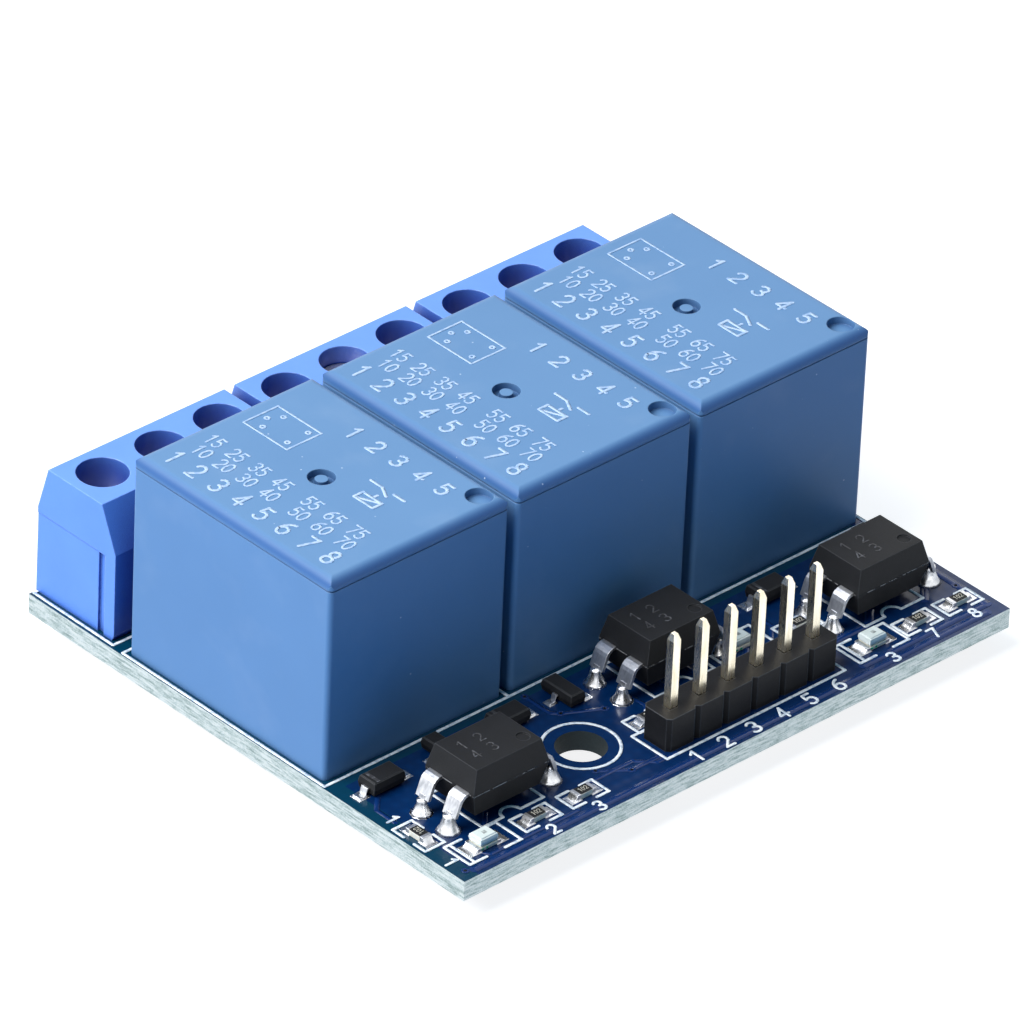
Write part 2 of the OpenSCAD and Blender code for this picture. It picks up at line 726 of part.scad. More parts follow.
board();  // circuit_board
for (i = [0:channels - 1]) {
    relay_case(i);
    relay_base(i);
    relay_pins(i);
    relay_yoke(i);
    relay_bobbin(i);
    relay_winding(i);
    relay_armature(i);
    terminal_housing(i);
    terminal_contacts(i);
    for (k = [0:ways - 1]) {
        terminal_screw(i, k);
        terminal_clamp(i, k);
    }
    optocoupler(i);
    optocoupler_leads(i);
}
header_housing();
header_pins();
indicator_lamps();
chip_resistors();
diodes();
transistors();
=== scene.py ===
# %% [markdown]
# # A relay module board, dressed in Blender
# The solid pieces of this board come from a CAD file: the circuit board, three relays, three screw
# terminal blocks, three optocouplers, a pin header and a handful of tiny parts. This lesson adds what
# a CAD file lacks: the printed lines, the copper tracks under the lacquer, the solder, and the finish
# of every plastic and metal. The lengths are in metres, so a value in millimetres is multiplied by MM.

# %% Load the solid pieces
import math

import bmesh
import bpy
from mathutils import Matrix, Vector


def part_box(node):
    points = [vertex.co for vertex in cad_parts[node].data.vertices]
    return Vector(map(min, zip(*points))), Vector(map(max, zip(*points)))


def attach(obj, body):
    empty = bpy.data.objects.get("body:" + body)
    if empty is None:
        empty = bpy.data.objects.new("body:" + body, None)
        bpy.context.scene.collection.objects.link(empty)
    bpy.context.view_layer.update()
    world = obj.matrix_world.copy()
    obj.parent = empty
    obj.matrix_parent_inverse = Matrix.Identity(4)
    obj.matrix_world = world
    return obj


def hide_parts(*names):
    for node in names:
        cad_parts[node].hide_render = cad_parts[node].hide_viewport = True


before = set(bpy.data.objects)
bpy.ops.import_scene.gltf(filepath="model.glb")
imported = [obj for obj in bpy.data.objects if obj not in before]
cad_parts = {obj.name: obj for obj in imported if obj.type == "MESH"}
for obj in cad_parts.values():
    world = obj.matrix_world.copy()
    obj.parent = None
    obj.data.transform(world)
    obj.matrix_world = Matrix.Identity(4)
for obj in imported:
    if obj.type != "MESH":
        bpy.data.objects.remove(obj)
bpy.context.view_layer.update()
MM = 0.001
CHANNELS = (1, 2, 3)
BOARD_BODY = "board_assembly"

# %% [markdown]
# A board is drawn from one corner, as its designer would do it. Places are given in millimetres from
# the front left corner of the board's top face. One function turns them into the scene's own metres,
# and because it starts from the loaded board, a change in the CAD file moves everything with it.

# %% Places on the board
board_low, board_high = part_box("circuit_board")
board_size = (board_high - board_low) / MM


def on_board(x, y, z=0.0):
    """A point in millimetres from the board's front left corner, z above its top face."""
    return Vector((board_low.x + x * MM, board_low.y + y * MM, board_high.z + z * MM))


def extent(node):
    """The lowest and highest corner of a solid piece, in board millimetres."""
    return [(corner - on_board(0, 0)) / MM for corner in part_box(node)]


def middle(node):
    """The middle of a solid piece, in board millimetres."""
    low, high = extent(node)
    return (low + high) / 2


print("board", [round(v, 2) for v in board_size], "mm")

# %% [markdown]
# Some solid pieces hold several lumps, such as the six pins of the header. The next helpers walk
# along the edges of a mesh to find its separate lumps, so that each can be measured by itself.

# %% Lumps of a solid piece
def corners(points):
    """The lowest and highest corner of a list of points."""
    low = Vector([min(p[k] for p in points) for k in range(3)])
    high = Vector([max(p[k] for p in points) for k in range(3)])
    return low, high


def islands(node):
    """The points of each separate lump of a solid piece, in board millimetres."""
    work = bmesh.new()
    work.from_mesh(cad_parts[node].data)
    bmesh.ops.remove_doubles(work, verts=work.verts, dist=0.002 * MM)
    work.verts.ensure_lookup_table()
    seen, found = set(), []
    for start in work.verts:
        if start.index in seen:
            continue
        seen.add(start.index)
        stack, lump = [start], []
        while stack:
            vertex = stack.pop()
            lump.append((vertex.co - on_board(0, 0)) / MM)
            for edge in vertex.link_edges:
                other = edge.other_vert(vertex)
                if other.index not in seen:
                    seen.add(other.index)
                    stack.append(other)
        found.append(lump)
    work.free()
    return found


print("the header has", len(islands("header_pins")), "pins")

# %% [markdown]
# Blender's node trees can be written as plain formulas. The class below holds one socket of a tree,
# and each operator adds the Math node that does it. Vectors and colours go through Vector Math
# instead, because a Math node would turn a colour into a grey. Every other node comes from one
# method, which takes its type, its settings and the values or links of its sockets.

# %% A socket that can be calculated with
class Socket:
    """The output of a node. Operators on it add Math or Vector Math nodes to its tree."""

    def __init__(self, maker, link):
        self.maker, self.link = maker, link

    def math(self, operation, *others):
        return self.maker.math(operation, self, *others)

    def __add__(self, other):
        return self.math("ADD", other)

    def __sub__(self, other):
        return self.math("SUBTRACT", other)

    def __mul__(self, other):
        return self.math("MULTIPLY", other)

    def __truediv__(self, other):
        return self.math("DIVIDE", other)

    def __rsub__(self, other):
        return self.maker.math("SUBTRACT", other, self)

    def __lt__(self, other):
        return self.math("LESS_THAN", other)

    def __gt__(self, other):
        return self.math("GREATER_THAN", other)

    __radd__ = __add__
    __rmul__ = __mul__


print("operators ready:", [name for name in vars(Socket) if name.startswith("__r")])

# %% A tree that is filled from Python
class Nodes:
    """A node tree with one method for the Math nodes and one for every other node."""

    def __init__(self, tree):
        self.tree = tree

    def node(self, kind, settings=None, inputs=None, output=0):
        """Adds a node with its settings and its sockets' values or links, and gives one output."""
        made = self.tree.nodes.new(kind)
        for key, value in (settings or {}).items():
            if key == "stops":
                fill_ramp(made.color_ramp, value)
            else:
                setattr(made, key, value)
        for key, value in (inputs or {}).items():
            if isinstance(value, Socket):
                self.tree.links.new(value.link, made.inputs[key])
            else:
                made.inputs[key].default_value = value
        return Socket(self, made.outputs[output]) if made.outputs else None

    def math(self, operation, *values):
        """Adds a Math node, or a Vector Math node where a vector or a colour comes in."""
        vector = any(isinstance(v, Socket) and v.link.type in ("VECTOR", "RGBA") for v in values)
        kind = "ShaderNodeVectorMath" if vector else "ShaderNodeMath"
        if vector:
            values = [(v, v, v) if isinstance(v, (int, float)) else v for v in values]
        return self.node(kind, {"operation": operation}, dict(enumerate(values)))


def fill_ramp(ramp, stops):
    """Gives a colour ramp its stops, each a place from 0 to 1 and a grey value or a colour."""
    while len(ramp.elements) < len(stops):
        ramp.elements.new(1)
    for element, (place, value) in zip(ramp.elements, stops):
        element.position = place
        element.color = value if isinstance(value, tuple) else (value, value, value, 1)


print("formula nodes ready")

# %% [markdown]
# A finish is one material. This class starts its tree, offers the patterns that the finishes share,
# and ends in a Principled shader. Patterns use Object coordinates. All the pieces keep their origin
# in one point, so one cycle per millimetre is a scale of 1000 on every piece.

# %% Colours
def srgb(red, green, blue):
    """A colour as a paint program shows it, from 0 to 255, turned into the linear light of a shader."""
    def linear(v):
        v /= 255
        return v / 12.92 if v <= 0.04045 else ((v + 0.055) / 1.055) ** 2.4
    return (linear(red), linear(green), linear(blue), 1.0)


print("a blue of 40, 90, 160 is", [round(v, 3) for v in srgb(40, 90, 160)[:3]], "in linear light")

# %% Finishes
PER_MM = 1000.0


class Finish(Nodes):
    """A material in the making: its patterns, and the shader that ends its tree."""

    def __init__(self, name):
        self.material = bpy.data.materials.new(name)
        self.material.use_nodes = True
        super().__init__(self.material.node_tree)
        self.tree.nodes.clear()
        self.place = self.node("ShaderNodeTexCoord", output=3)

    def noise(self, per_mm, detail=2.0, stretch=(1, 1, 1)):
        """Soft random cloud from 0 to 1 with so many lumps in each millimetre."""
        return self.node("ShaderNodeTexNoise", inputs={
            "Vector": self.place * stretch, "Scale": per_mm * PER_MM, "Detail": detail})

    def ramp(self, value, stops):
        """Turns a value into the greys or colours of the stops."""
        return self.node("ShaderNodeValToRGB", {"stops": stops}, {0: value})

    def blend(self, factor, first, second):
        """The first colour where the factor is 0 and the second where it is 1."""
        return self.node("ShaderNodeMix", {"data_type": "RGBA"}, {0: factor, 6: first, 7: second}, 2)

    def specks(self, per_mm, size, share):
        """Small round dots, 1 inside and 0 outside, in that share of the pattern's cells."""
        cells = {"Vector": self.place, "Scale": per_mm * PER_MM, "Randomness": 1.0}
        distance = self.node("ShaderNodeTexVoronoi", inputs=cells, output="Distance")
        lot = self.node("ShaderNodeTexVoronoi", inputs=cells, output="Color")
        chance = self.node("ShaderNodeSeparateXYZ", inputs={0: lot})
        return (distance < size) * (chance < share)

    def edges(self, radius_mm):
        """How much the surface turns within that radius: 0 on a flat, near 1 on a sharp edge."""
        soft = self.node("ShaderNodeBevel", {"samples": 6}, {"Radius": radius_mm * MM})
        flat = self.node("ShaderNodeNewGeometry", output="Normal")
        facing = self.node("ShaderNodeVectorMath", {"operation": "DOT_PRODUCT"},
                           {0: soft, 1: flat}, "Value")
        return (1 - facing) * 6

    def openness(self, reach_mm):
        """How open the place lies: 1 on a free face, near 0 deep in a hole or a narrow gap."""
        return self.node("ShaderNodeAmbientOcclusion", {"samples": 6}, {
            "Distance": reach_mm * MM}, "AO")

    def limited(self, value):
        """The value, held between 0 and 1."""
        return self.node("ShaderNodeClamp", inputs={0: value})

    def part_of(self, source, axis):
        """One of the three parts X, Y or Z of a vector."""
        return self.node("ShaderNodeSeparateXYZ", inputs={0: source}, output=axis)

    def facing(self):
        """The direction that the surface faces."""
        return self.node("ShaderNodeTexCoord", output="Normal")

    def surface(self, edge_mm=0.0, bump=None, depth_mm=0.01, **sockets):
        """Ends the tree. Capital words of a socket's name are joined with _ in the keyword."""
        inputs = {key.replace("_", " "): value for key, value in sockets.items()}
        normal = {}
        if edge_mm:
            normal["Normal"] = self.node("ShaderNodeBevel", {"samples": 6}, {"Radius": edge_mm * MM})
        if bump is not None:
            normal["Normal"] = self.node("ShaderNodeBump", inputs={
                **normal, "Height": bump, "Strength": 1.0, "Distance": depth_mm * MM})
        shader = self.node("ShaderNodeBsdfPrincipled", inputs={**inputs, **normal})
        self.node("ShaderNodeOutputMaterial", inputs={"Surface": shader})
        return self.material


print("patterns of a finish:", [name for name in vars(Finish) if name[0] != "_"])

# %% [markdown]
# ## The circuit board
# The board is a sheet of woven glass in resin, pale green where it is sawn, under a glossy blue
# lacquer. One material does both: the shader looks at which way a face points and puts lacquer on
# the two flat sides and bare laminate on the sawn edges. The weave shows through the lacquer as a
# slight unevenness, and the sawn edge has fine fibres that run along it. The sawn edge also gets a
# painted glow, so that it looks evenly lit on every side, the shaded front too. Where no copper lies
# under the lacquer, the pale glass shows through and turns the blue a little greener.

# %% Board lacquer
MASK_DEEP, MASK_LIGHT, MASK_BARE = srgb(2, 31, 71), srgb(4, 44, 91), srgb(3, 54, 74)
# Where there is no copper, in board millimetres: left of one line, behind another, and on a strip in
# front of the relays, given by its front, its rear and its right end.
BARE_LEFT, BARE_BACK = 1.25, 33.2
BARE_BY_RELAYS = (12.7, 14.6, 47.5)


def lacquer(finish, deep, light):
    """Colour and height of the blue lacquer, with the glass weave showing a little."""
    weave, across = (finish.node("ShaderNodeTexWave", {"bands_direction": way}, {
        "Vector": finish.place, "Scale": 0.35 * PER_MM, "Distortion": 1.5, "Detail": 1.0}, "Fac")
        for way in ("X", "Y"))
    cloud = finish.noise(0.25, 3)
    colour = finish.blend(cloud * 0.7 + weave * across * 0.3, deep, light)
    return colour, weave + across + cloud * 2


def without_copper(finish):
    """1 on the strips of the board that have no copper under the lacquer: they look greener."""
    x = (finish.part_of(finish.place, "X") - board_low.x) / MM
    y = (finish.part_of(finish.place, "Y") - board_low.y) / MM
    front, rear, end = BARE_BY_RELAYS
    left, back = x < BARE_LEFT, y > BARE_BACK
    by_relays = (y > front) * (y < rear) * (x < end)
    return finish.limited(left + back + by_relays)


print("lacquer:", [[round(v, 3) for v in tone[:3]] for tone in (MASK_DEEP, MASK_LIGHT, MASK_BARE)])

# %% [markdown]
# The mounting hole cuts through everything, and little light reaches its wall. The shader finds the
# wall by its distance from the hole's middle.

# %% Laminate with its sawn edges and its hole
HOLE = (15.98, 6.33)
HOLE_WALL = 1.95


def board_finish():
    """Lacquer on the flat sides, fibres and a painted glow on the sawn edges, painted shade on the wall in
    the hole.
    """
    finish = Finish("board laminate")
    colour, height = lacquer(finish, MASK_DEEP, MASK_LIGHT)
    colour = finish.blend(without_copper(finish) * 0.85, colour, MASK_BARE)
    up = finish.part_of(finish.facing(), "Z")
    flat = up * up > 0.5
    fibres = finish.noise(2.0, 4, (0.4, 0.4, 3.4))
    grain = finish.noise(10.0, 3)
    sawn = finish.ramp(fibres * 0.7 + grain * 0.3, [
        (0.36, srgb(150, 170, 166)), (0.47, srgb(202, 217, 214)), (0.58, srgb(236, 244, 241))])
    from_hole = (finish.place - tuple(on_board(*HOLE))) * (1, 1, 0)
    away = finish.node("ShaderNodeVectorMath", {"operation": "LENGTH"}, {0: from_hole}, "Value")
    in_hole = away < HOLE_WALL * MM
    # Painted glow: the sawn edge's colour is dimmed and a glow is added, so it looks lit from every side;
    # the hole's wall gets painted shade and no glow.
    bare = finish.blend(in_hole, sawn * (0.33, 0.32, 0.31), srgb(34, 44, 47))
    glow = finish.blend(in_hole, sawn * (0.56, 0.56, 0.56), (0, 0, 0, 1))
    return finish.surface(
        Base_Color=finish.blend(flat, bare, colour),
        Emission_Color=finish.blend(flat, glow, (0, 0, 0, 1)), Emission_Strength=1.0,
        Roughness=0.62 - flat * 0.4, Specular_IOR_Level=0.3,
        bump=height * flat * 0.3 + (1 - flat) * (fibres + grain), depth_mm=0.02)


BOARD = board_finish()
print("board finish:", BOARD.name, "with", len(BOARD.node_tree.nodes), "nodes")

# %% Lacquer over copper, and ink
def track_finish():
    """The same lacquer over a copper track: a shade lighter, since light comes back from the metal."""
    finish = Finish("lacquer over copper")
    colour, height = lacquer(finish, srgb(7, 38, 88), srgb(12, 50, 106))
    return finish.surface(Base_Color=colour, Roughness=0.22, Specular_IOR_Level=0.3,
                          bump=height * 0.3, depth_mm=0.02)


def ink_finish(name, dark, light, wear):
    """Screen-printed ink: matt, a little thin in places and broken at its worn spots."""
    finish = Finish(name)
    cloud = finish.noise(3.0, 4)
    thin = finish.ramp(cloud, [(0.5 - wear, 0.0), (0.62 - wear / 2, 1.0)])
    return finish.surface(Base_Color=finish.blend(thin, dark, light),
                          Roughness=0.5 + cloud * 0.2, bump=cloud, depth_mm=0.01)


TRACK = track_finish()
INK = ink_finish("board ink", srgb(176, 190, 206), srgb(236, 240, 244), 0.16)
print("finishes on the board:", TRACK.name, "and", INK.name)

# %% [markdown]
# ## The plastics
# The relay cases are moulded in a satin blue plastic with a fine sparked texture, and a few grains
# of dust cling to them. The rounded band below the top carries painted shade in a deeper blue, and
# the two recesses in the top and the narrow gaps get painted shade as well.

# %% Blue plastic of the relays
def relay_case_finish():
    finish = Finish("relay case plastic")
    cloud = finish.noise(0.15, 2)
    grain = finish.noise(14.0, 2)
    dust = finish.specks(0.9, 0.055, 0.16) + finish.specks(2.3, 0.05, 0.05)
    smudge = finish.ramp(finish.noise(0.22, 3), [(0.56, 0.0), (0.74, 1.0)])
    colour = finish.blend(cloud, srgb(89, 129, 172), srgb(97, 137, 180))
    colour = finish.blend(smudge * 0.08, colour, srgb(150, 172, 200))
    # Painted shade: the rounded band between the top and the sides is made a deeper blue.
    up = finish.part_of(finish.facing(), "Z")
    shaded_rounding = finish.limited(up * (1 - up) * 4)
    colour = finish.blend(shaded_rounding * 0.75, colour, srgb(30, 78, 138))
    # Painted shade in the recesses and narrow gaps.
    recess_shade = finish.ramp(finish.openness(0.8), [(0.35, 1.0), (0.85, 0.0)])
    colour = finish.blend(recess_shade * 0.6, colour, srgb(16, 52, 104))
    return finish.surface(
        edge_mm=0.1, Base_Color=finish.blend(dust * 0.5, colour, srgb(215, 226, 240)),
        Roughness=0.42 + grain * 0.1 - smudge * 0.06, Specular_IOR_Level=0.35,
        bump=grain, depth_mm=0.004)


def relay_base_finish():
    finish = Finish("relay base plastic")
    grain = finish.noise(4.0, 3)
    return finish.surface(
        edge_mm=0.08, Base_Color=finish.blend(grain, srgb(40, 88, 160), srgb(52, 102, 178)),
        Roughness=0.4 + grain * 0.1, bump=grain, depth_mm=0.005)


CASE = relay_case_finish()
BASE = relay_base_finish()
RELAY_INK = ink_finish("relay print", srgb(146, 176, 214), srgb(182, 202, 230), 0.14)
print("relay finishes:", [m.name for m in (CASE, BASE, RELAY_INK)])

# %% [markdown]
# The terminal blocks are a glossier, stronger blue. Their rims carry a pale painted highlight that is
# broken up where the mould wore them ragged, and the driver holes and other deep places get painted
# shade in an almost violet blue.

# %% Glossy plastic of the terminal blocks
def terminal_finish():
    finish = Finish("terminal plastic")
    cloud = finish.noise(0.3, 3)
    grain = finish.noise(5.0, 3)
    colour = finish.blend(cloud, srgb(90, 140, 226), srgb(102, 152, 236))
    # Painted shade: deep places such as the driver holes turn an almost violet blue.
    recess_shade = finish.ramp(finish.openness(4.0), [(0.3, 1.0), (0.8, 0.0)])
    colour = finish.blend(recess_shade * 0.85, colour, srgb(24, 34, 128))
    # Painted highlight along the rims, broken up where the mould wore them ragged.
    ragged = finish.ramp(finish.noise(2.5, 4), [(0.42, 0.2), (0.6, 1.0)])
    edge_highlight_and_wear = finish.limited(finish.edges(0.15) * ragged)
    return finish.surface(
        edge_mm=0.12, Base_Color=finish.blend(edge_highlight_and_wear * 0.5, colour, srgb(160, 194, 255)),
        Roughness=0.26 + grain * 0.14, bump=grain + cloud * 2, depth_mm=0.006)


TERMINAL = terminal_finish()
print("terminal finish:", TERMINAL.name)

# %% [markdown]
# Chip housings are black resin with a fine grain. Their edges get a faint painted highlight, and the
# faces that lean downwards below the line where the two halves of the mould met get painted shade.
# The pin header is smooth black plastic: its edges are painted pale, partly as highlight and partly
# as scuffs, and its hollows and gaps get painted shade. The white parts of lamps, resistors and coil
# bobbins share one ivory plastic.

# %% Black resin, black plastic and ivory plastic
def resin_finish():
    finish = Finish("moulding resin")
    grain = finish.noise(18.0, 3)
    cloud = finish.noise(0.8, 3)
    # Painted highlight on the edges.
    shine = finish.limited(finish.edges(0.1))
    colour = finish.blend(cloud, srgb(15, 16, 18), srgb(24, 25, 28))
    # Painted shade on the faces that lean downwards, below the mould line.
    under = finish.part_of(finish.facing(), "Z") < -0.03
    colour = finish.blend(under * 0.65, colour, srgb(4, 4, 5))
    return finish.surface(
        edge_mm=0.07, Base_Color=finish.blend(shine * 0.25, colour, srgb(110, 112, 116)),
        Roughness=0.5 + grain * 0.25, Specular_IOR_Level=0.22, bump=grain, depth_mm=0.012)


def header_finish():
    finish = Finish("header plastic")
    grain = finish.noise(7.0, 3)
    scuffs = finish.noise(2.0, 4, (1, 1, 4))
    # Painted highlight along the edges, mixed with scuffs.
    edge_highlight_and_wear = finish.limited(finish.edges(0.12) * scuffs * 1.6)
    # Painted shade in the hollows and gaps of the housing.
    recess_shade = finish.ramp(finish.openness(0.7), [(0.4, 1.0), (0.8, 0.0)])
    black = finish.blend(recess_shade, srgb(18, 18, 20), srgb(2, 2, 3))
    return finish.surface(
        edge_mm=0.07, Base_Color=finish.blend(edge_highlight_and_wear * 0.45, black, srgb(120, 122, 126)),
        Roughness=0.4 + grain * 0.2, Specular_IOR_Level=0.2, bump=grain, depth_mm=0.008)


def bobbin_finish():
    finish = Finish("bobbin plastic")
    cloud = finish.noise(0.6, 3)
    return finish.surface(
        edge_mm=0.06, Base_Color=finish.blend(cloud, srgb(226, 218, 200), srgb(240, 234, 220)),
        Roughness=0.4 + cloud * 0.1, bump=cloud, depth_mm=0.006)


RESIN = resin_finish()
HEADER = header_finish()
BOBBIN = bobbin_finish()
RESIN_INK = ink_finish("faint mark on resin", srgb(34, 35, 38), srgb(84, 85, 90), 0.0)
print("small parts' finishes:", [m.name for m in (RESIN, HEADER, BOBBIN, RESIN_INK)])

# %% [markdown]
# ## The metals
# Tinned leads are soft grey with dull clouds, solder is brighter and gently dented, the header's
# pins are flash-plated with gold, and the screws are zinc plated with fine turning marks and painted
# shade in their slots. A metal shows little but what it mirrors, so each gets a roughness that varies
# and a shallow bump.

# %% Metals
def metal_finish(name, dark, light, roughness, per_mm, stretch=(1, 1, 1), depth_mm=0.006,
                 slot_shade=None):
    """A metal; a colour of painted shade, where one is given, fills its slots and other narrow places."""
    finish = Finish(name)
    cloud = finish.noise(per_mm, 4, stretch)
    wide = finish.noise(per_mm * 0.2, 2, stretch)
    tone = finish.ramp(cloud * 0.6 + wide * 0.4, [(0.36, 0.0), (0.6, 1.0)])
    colour = finish.blend(tone, dark, light)
    if slot_shade is not None:
        # Painted shade in slots and other narrow places.
        free = finish.ramp(finish.openness(0.5), [(0.4, 0.0), (0.72, 1.0)])
        colour = finish.blend(free, slot_shade, colour)
    return finish.surface(
        edge_mm=0.04, Base_Color=colour, Metallic=1.0, Roughness=roughness + (1 - cloud) * 0.22,
        bump=cloud + wide, depth_mm=depth_mm)


TIN = metal_finish("tinned lead", srgb(168, 171, 177), srgb(216, 218, 222), 0.24, 4.0, (1, 1, 0.3))
SOLDER = metal_finish("solder", srgb(178, 181, 186), srgb(236, 238, 241), 0.16, 2.0, depth_mm=0.03)
GOLD = metal_finish("gold plate", srgb(232, 220, 192), srgb(252, 246, 228), 0.16, 3.0, (1, 1, 0.15))
STEEL = metal_finish("plated steel", srgb(196, 196, 194), srgb(238, 238, 236), 0.26, 5.0, (1, 1, 6),
                     slot_shade=srgb(44, 46, 56))
IRON = metal_finish("magnet iron", srgb(150, 150, 152), srgb(198, 198, 200), 0.25, 3.0)


def winding_finish():
    """Enamelled wire laid turn by turn: fine rings round the coil's axis."""
    finish = Finish("coil winding")
    turns = finish.node("ShaderNodeTexWave", {"bands_direction": "Z", "wave_profile": "SIN"}, {
        "Vector": finish.place, "Scale": 1.6 * PER_MM, "Distortion": 0.3}, "Fac")
    return finish.surface(Base_Color=finish.blend(turns, srgb(110, 44, 22), srgb(196, 96, 54)),
                          Metallic=0.6, Roughness=0.3 + turns * 0.1, bump=turns, depth_mm=0.04)


WINDING = winding_finish()
print("metals:", [m.name for m in (TIN, SOLDER, GOLD, STEEL, IRON, WINDING)])

# %% [markdown]
# Each solid piece takes its finish by the first words of its name. The dictionary goes from the
# more exact name to the less exact one, so the optocouplers' leads are found before their bodies.

# %% Finish for each solid piece
FINISH_OF = {
    "circuit_board": BOARD, "relay_case": CASE, "relay_base": BASE, "relay_pins": TIN,
    "relay_yoke": IRON, "relay_bobbin": BOBBIN, "relay_winding": WINDING, "relay_armature": IRON,
    "terminal_housing": TERMINAL, "terminal_contacts": TIN, "terminal_screw": STEEL,
    "terminal_clamp": STEEL, "optocoupler_leads": TIN, "optocoupler": RESIN,
    "header_housing": HEADER, "header_pins": GOLD, "indicator_lamps": BOBBIN,
    "chip_resistors": RESIN, "diodes": RESIN, "transistors": RESIN,
}
for name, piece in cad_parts.items():
    key = next(k for k in FINISH_OF if name.startswith(k))
    piece.data.materials.clear()
    piece.data.materials.append(FINISH_OF[key])
print("finishes given to", len(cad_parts), "pieces")

# %% [markdown]
# ## Lines drawn with Geometry Nodes
# Printed lines and copper tracks are all the same thing: a flat band that follows a path. A node
# tree draws them, so the path is only a few points joined by edges. The tree turns the edges into
# curves, sweeps a flat rectangle along them and sets a disc on each point, which gives the round
# corners and ends that a plotter's pen leaves. One curve for a whole path would pinch the band at
# its corners, so each straight stretch is a curve of its own. Where two of them overlap, their flat
# tops must not lie in the same plane, or they would throw shadow on each other. So the stretches are
# lifted by different small steps, all within a hundredth of a millimetre.

# %% Trees with named inputs
def new_tree(name, sockets):
    """A Geometry Nodes tree with a mesh input and named inputs, given as name: (type, value)."""
    tree = bpy.data.node_groups.new(name, "GeometryNodeTree")
    tree.interface.new_socket("Geometry", in_out="INPUT", socket_type="NodeSocketGeometry")
    for label, (kind, value) in sockets.items():
        made = tree.interface.new_socket(label, in_out="INPUT", socket_type="NodeSocket" + kind)
        if value is not None:
            made.default_value = value
    tree.interface.new_socket("Geometry", in_out="OUTPUT", socket_type="NodeSocketGeometry")
    work = Nodes(tree)
    entry = tree.nodes.new("NodeGroupInput")
    return work, {s.name: Socket(work, s) for s in entry.outputs if s.name}


def close_tree(work, geometry, material):
    """Realize Instances and Set Material end every tree, because an export drops instances."""
    solid = work.node("GeometryNodeRealizeInstances", inputs={0: geometry})
    painted = work.node("GeometryNodeSetMaterial", inputs={0: solid, "Material": material})
    work.node("NodeGroupOutput", inputs={0: painted})
    return work.tree


print("a tree ends with Realize Instances and Set Material")

# %% The pen tree
def join(work, *parts):
    """Joins several geometries. The socket of Join Geometry takes many links."""
    made = work.tree.nodes.new("GeometryNodeJoinGeometry")
    for part in parts:
        work.tree.links.new(part.link, made.inputs[0])
    return Socket(work, made.outputs[0])


def pen_tree():
    """A band along each edge of the base mesh and a disc on each of its points."""
    work, given = new_tree("pen", {"Width": ("Float", 0.2 * MM), "Thickness": ("Float", 0.03 * MM),
                                   "Material": ("Material", None)})
    path = work.node("GeometryNodeMeshToCurve", inputs={0: given["Geometry"]})
    path = work.node("GeometryNodeSetCurveNormal", {"mode": "Z_UP"}, {0: path})
    band = work.node("GeometryNodeCurvePrimitiveQuadrilateral", inputs={
        0: given["Width"], 1: given["Thickness"]})
    swept = work.node("GeometryNodeCurveToMesh", inputs={0: path, 1: band, "Fill Caps": True})
    disc = work.node("GeometryNodeMeshCylinder", inputs={
        "Vertices": 10, "Radius": given["Width"] / 2, "Depth": given["Thickness"] * 0.9})
    spots = work.node("GeometryNodeMergeByDistance", inputs={0: given["Geometry"], "Distance": 0.01 * MM})
    discs = work.node("GeometryNodeInstanceOnPoints", inputs={0: spots, "Instance": disc})
    return close_tree(work, join(work, swept, discs), given["Material"])


PEN_TREE = pen_tree()
print("the pen tree has", len(PEN_TREE.nodes), "nodes")

# %% [markdown]
# A tree only works while it sits on an object as a modifier. So the next helper puts it on, sets its
# inputs by the identifiers of their sockets, keeps the result as a plain mesh and takes it off again.

# %% Growing a piece and drawing strokes
def grow(name, tree, base, body, slot, **sizes):
    """Runs a tree on a base mesh, keeps the result as a plain mesh and lets it ride on a body."""
    piece = bpy.data.objects.new(name, base)
    bpy.context.scene.collection.objects.link(piece)
    modifier = piece.modifiers.new("nodes", "NODES")
    modifier.node_group = tree
    for socket in tree.interface.items_tree:
        if socket.in_out == "INPUT" and socket.name in sizes:
            modifier[socket.identifier] = sizes[socket.name]
    evaluated = piece.evaluated_get(bpy.context.evaluated_depsgraph_get())
    made = bpy.data.meshes.new_from_object(evaluated)
    piece.modifiers.remove(modifier)
    piece.data = made
    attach(piece, body)
    return piece


LIFT_STEP = 0.0006


def path_mesh(name, strokes, lift):
    """Strokes are lists of (x, y) in board millimetres. Each stretch becomes two points and an edge."""
    points = []
    stretches = [pair for stroke in strokes for pair in zip(stroke, stroke[1:])]
    for k, (start, end) in enumerate(stretches):
        z = lift + LIFT_STEP * (7 * k % 17)
        points += [on_board(*start, z), on_board(*end, z)]
    mesh = bpy.data.meshes.new(name)
    mesh.from_pydata(points, [(k, k + 1) for k in range(0, len(points), 2)], [])
    return mesh


def draw(name, strokes, width, lift, thickness, material, slot="board_laminate"):
    """Draws strokes as flat bands. All the sizes are in millimetres."""
    return grow(name, PEN_TREE, path_mesh(name, strokes, lift), BOARD_BODY, slot,
                Width=width * MM, Thickness=thickness * MM, Material=material)


def dots(places):
    """Strokes so short that the pen leaves a round dot at each place."""
    return [[(x, y), (x + 0.02, y)] for x, y in places]


print("stretches differ in height by steps of", LIFT_STEP, "mm")

# %% [markdown]
# ### Numerals for a pen
# A few strokes are enough for the plain numerals that pins and parts are numbered with. Each numeral
# sits in a cell one unit high, and round parts are arcs worked out by a formula. A font would give
# outlines to fill, and its thin corners look wrong at this size.

# %% Strokes of the numerals
def arc(x, y, across, up, start, end, steps=10):
    """Points of an ellipse's arc, with its angles in degrees."""
    turns = [math.radians(start + (end - start) * k / steps) for k in range(steps + 1)]
    return [(x + across * math.cos(t), y + up * math.sin(t)) for t in turns]


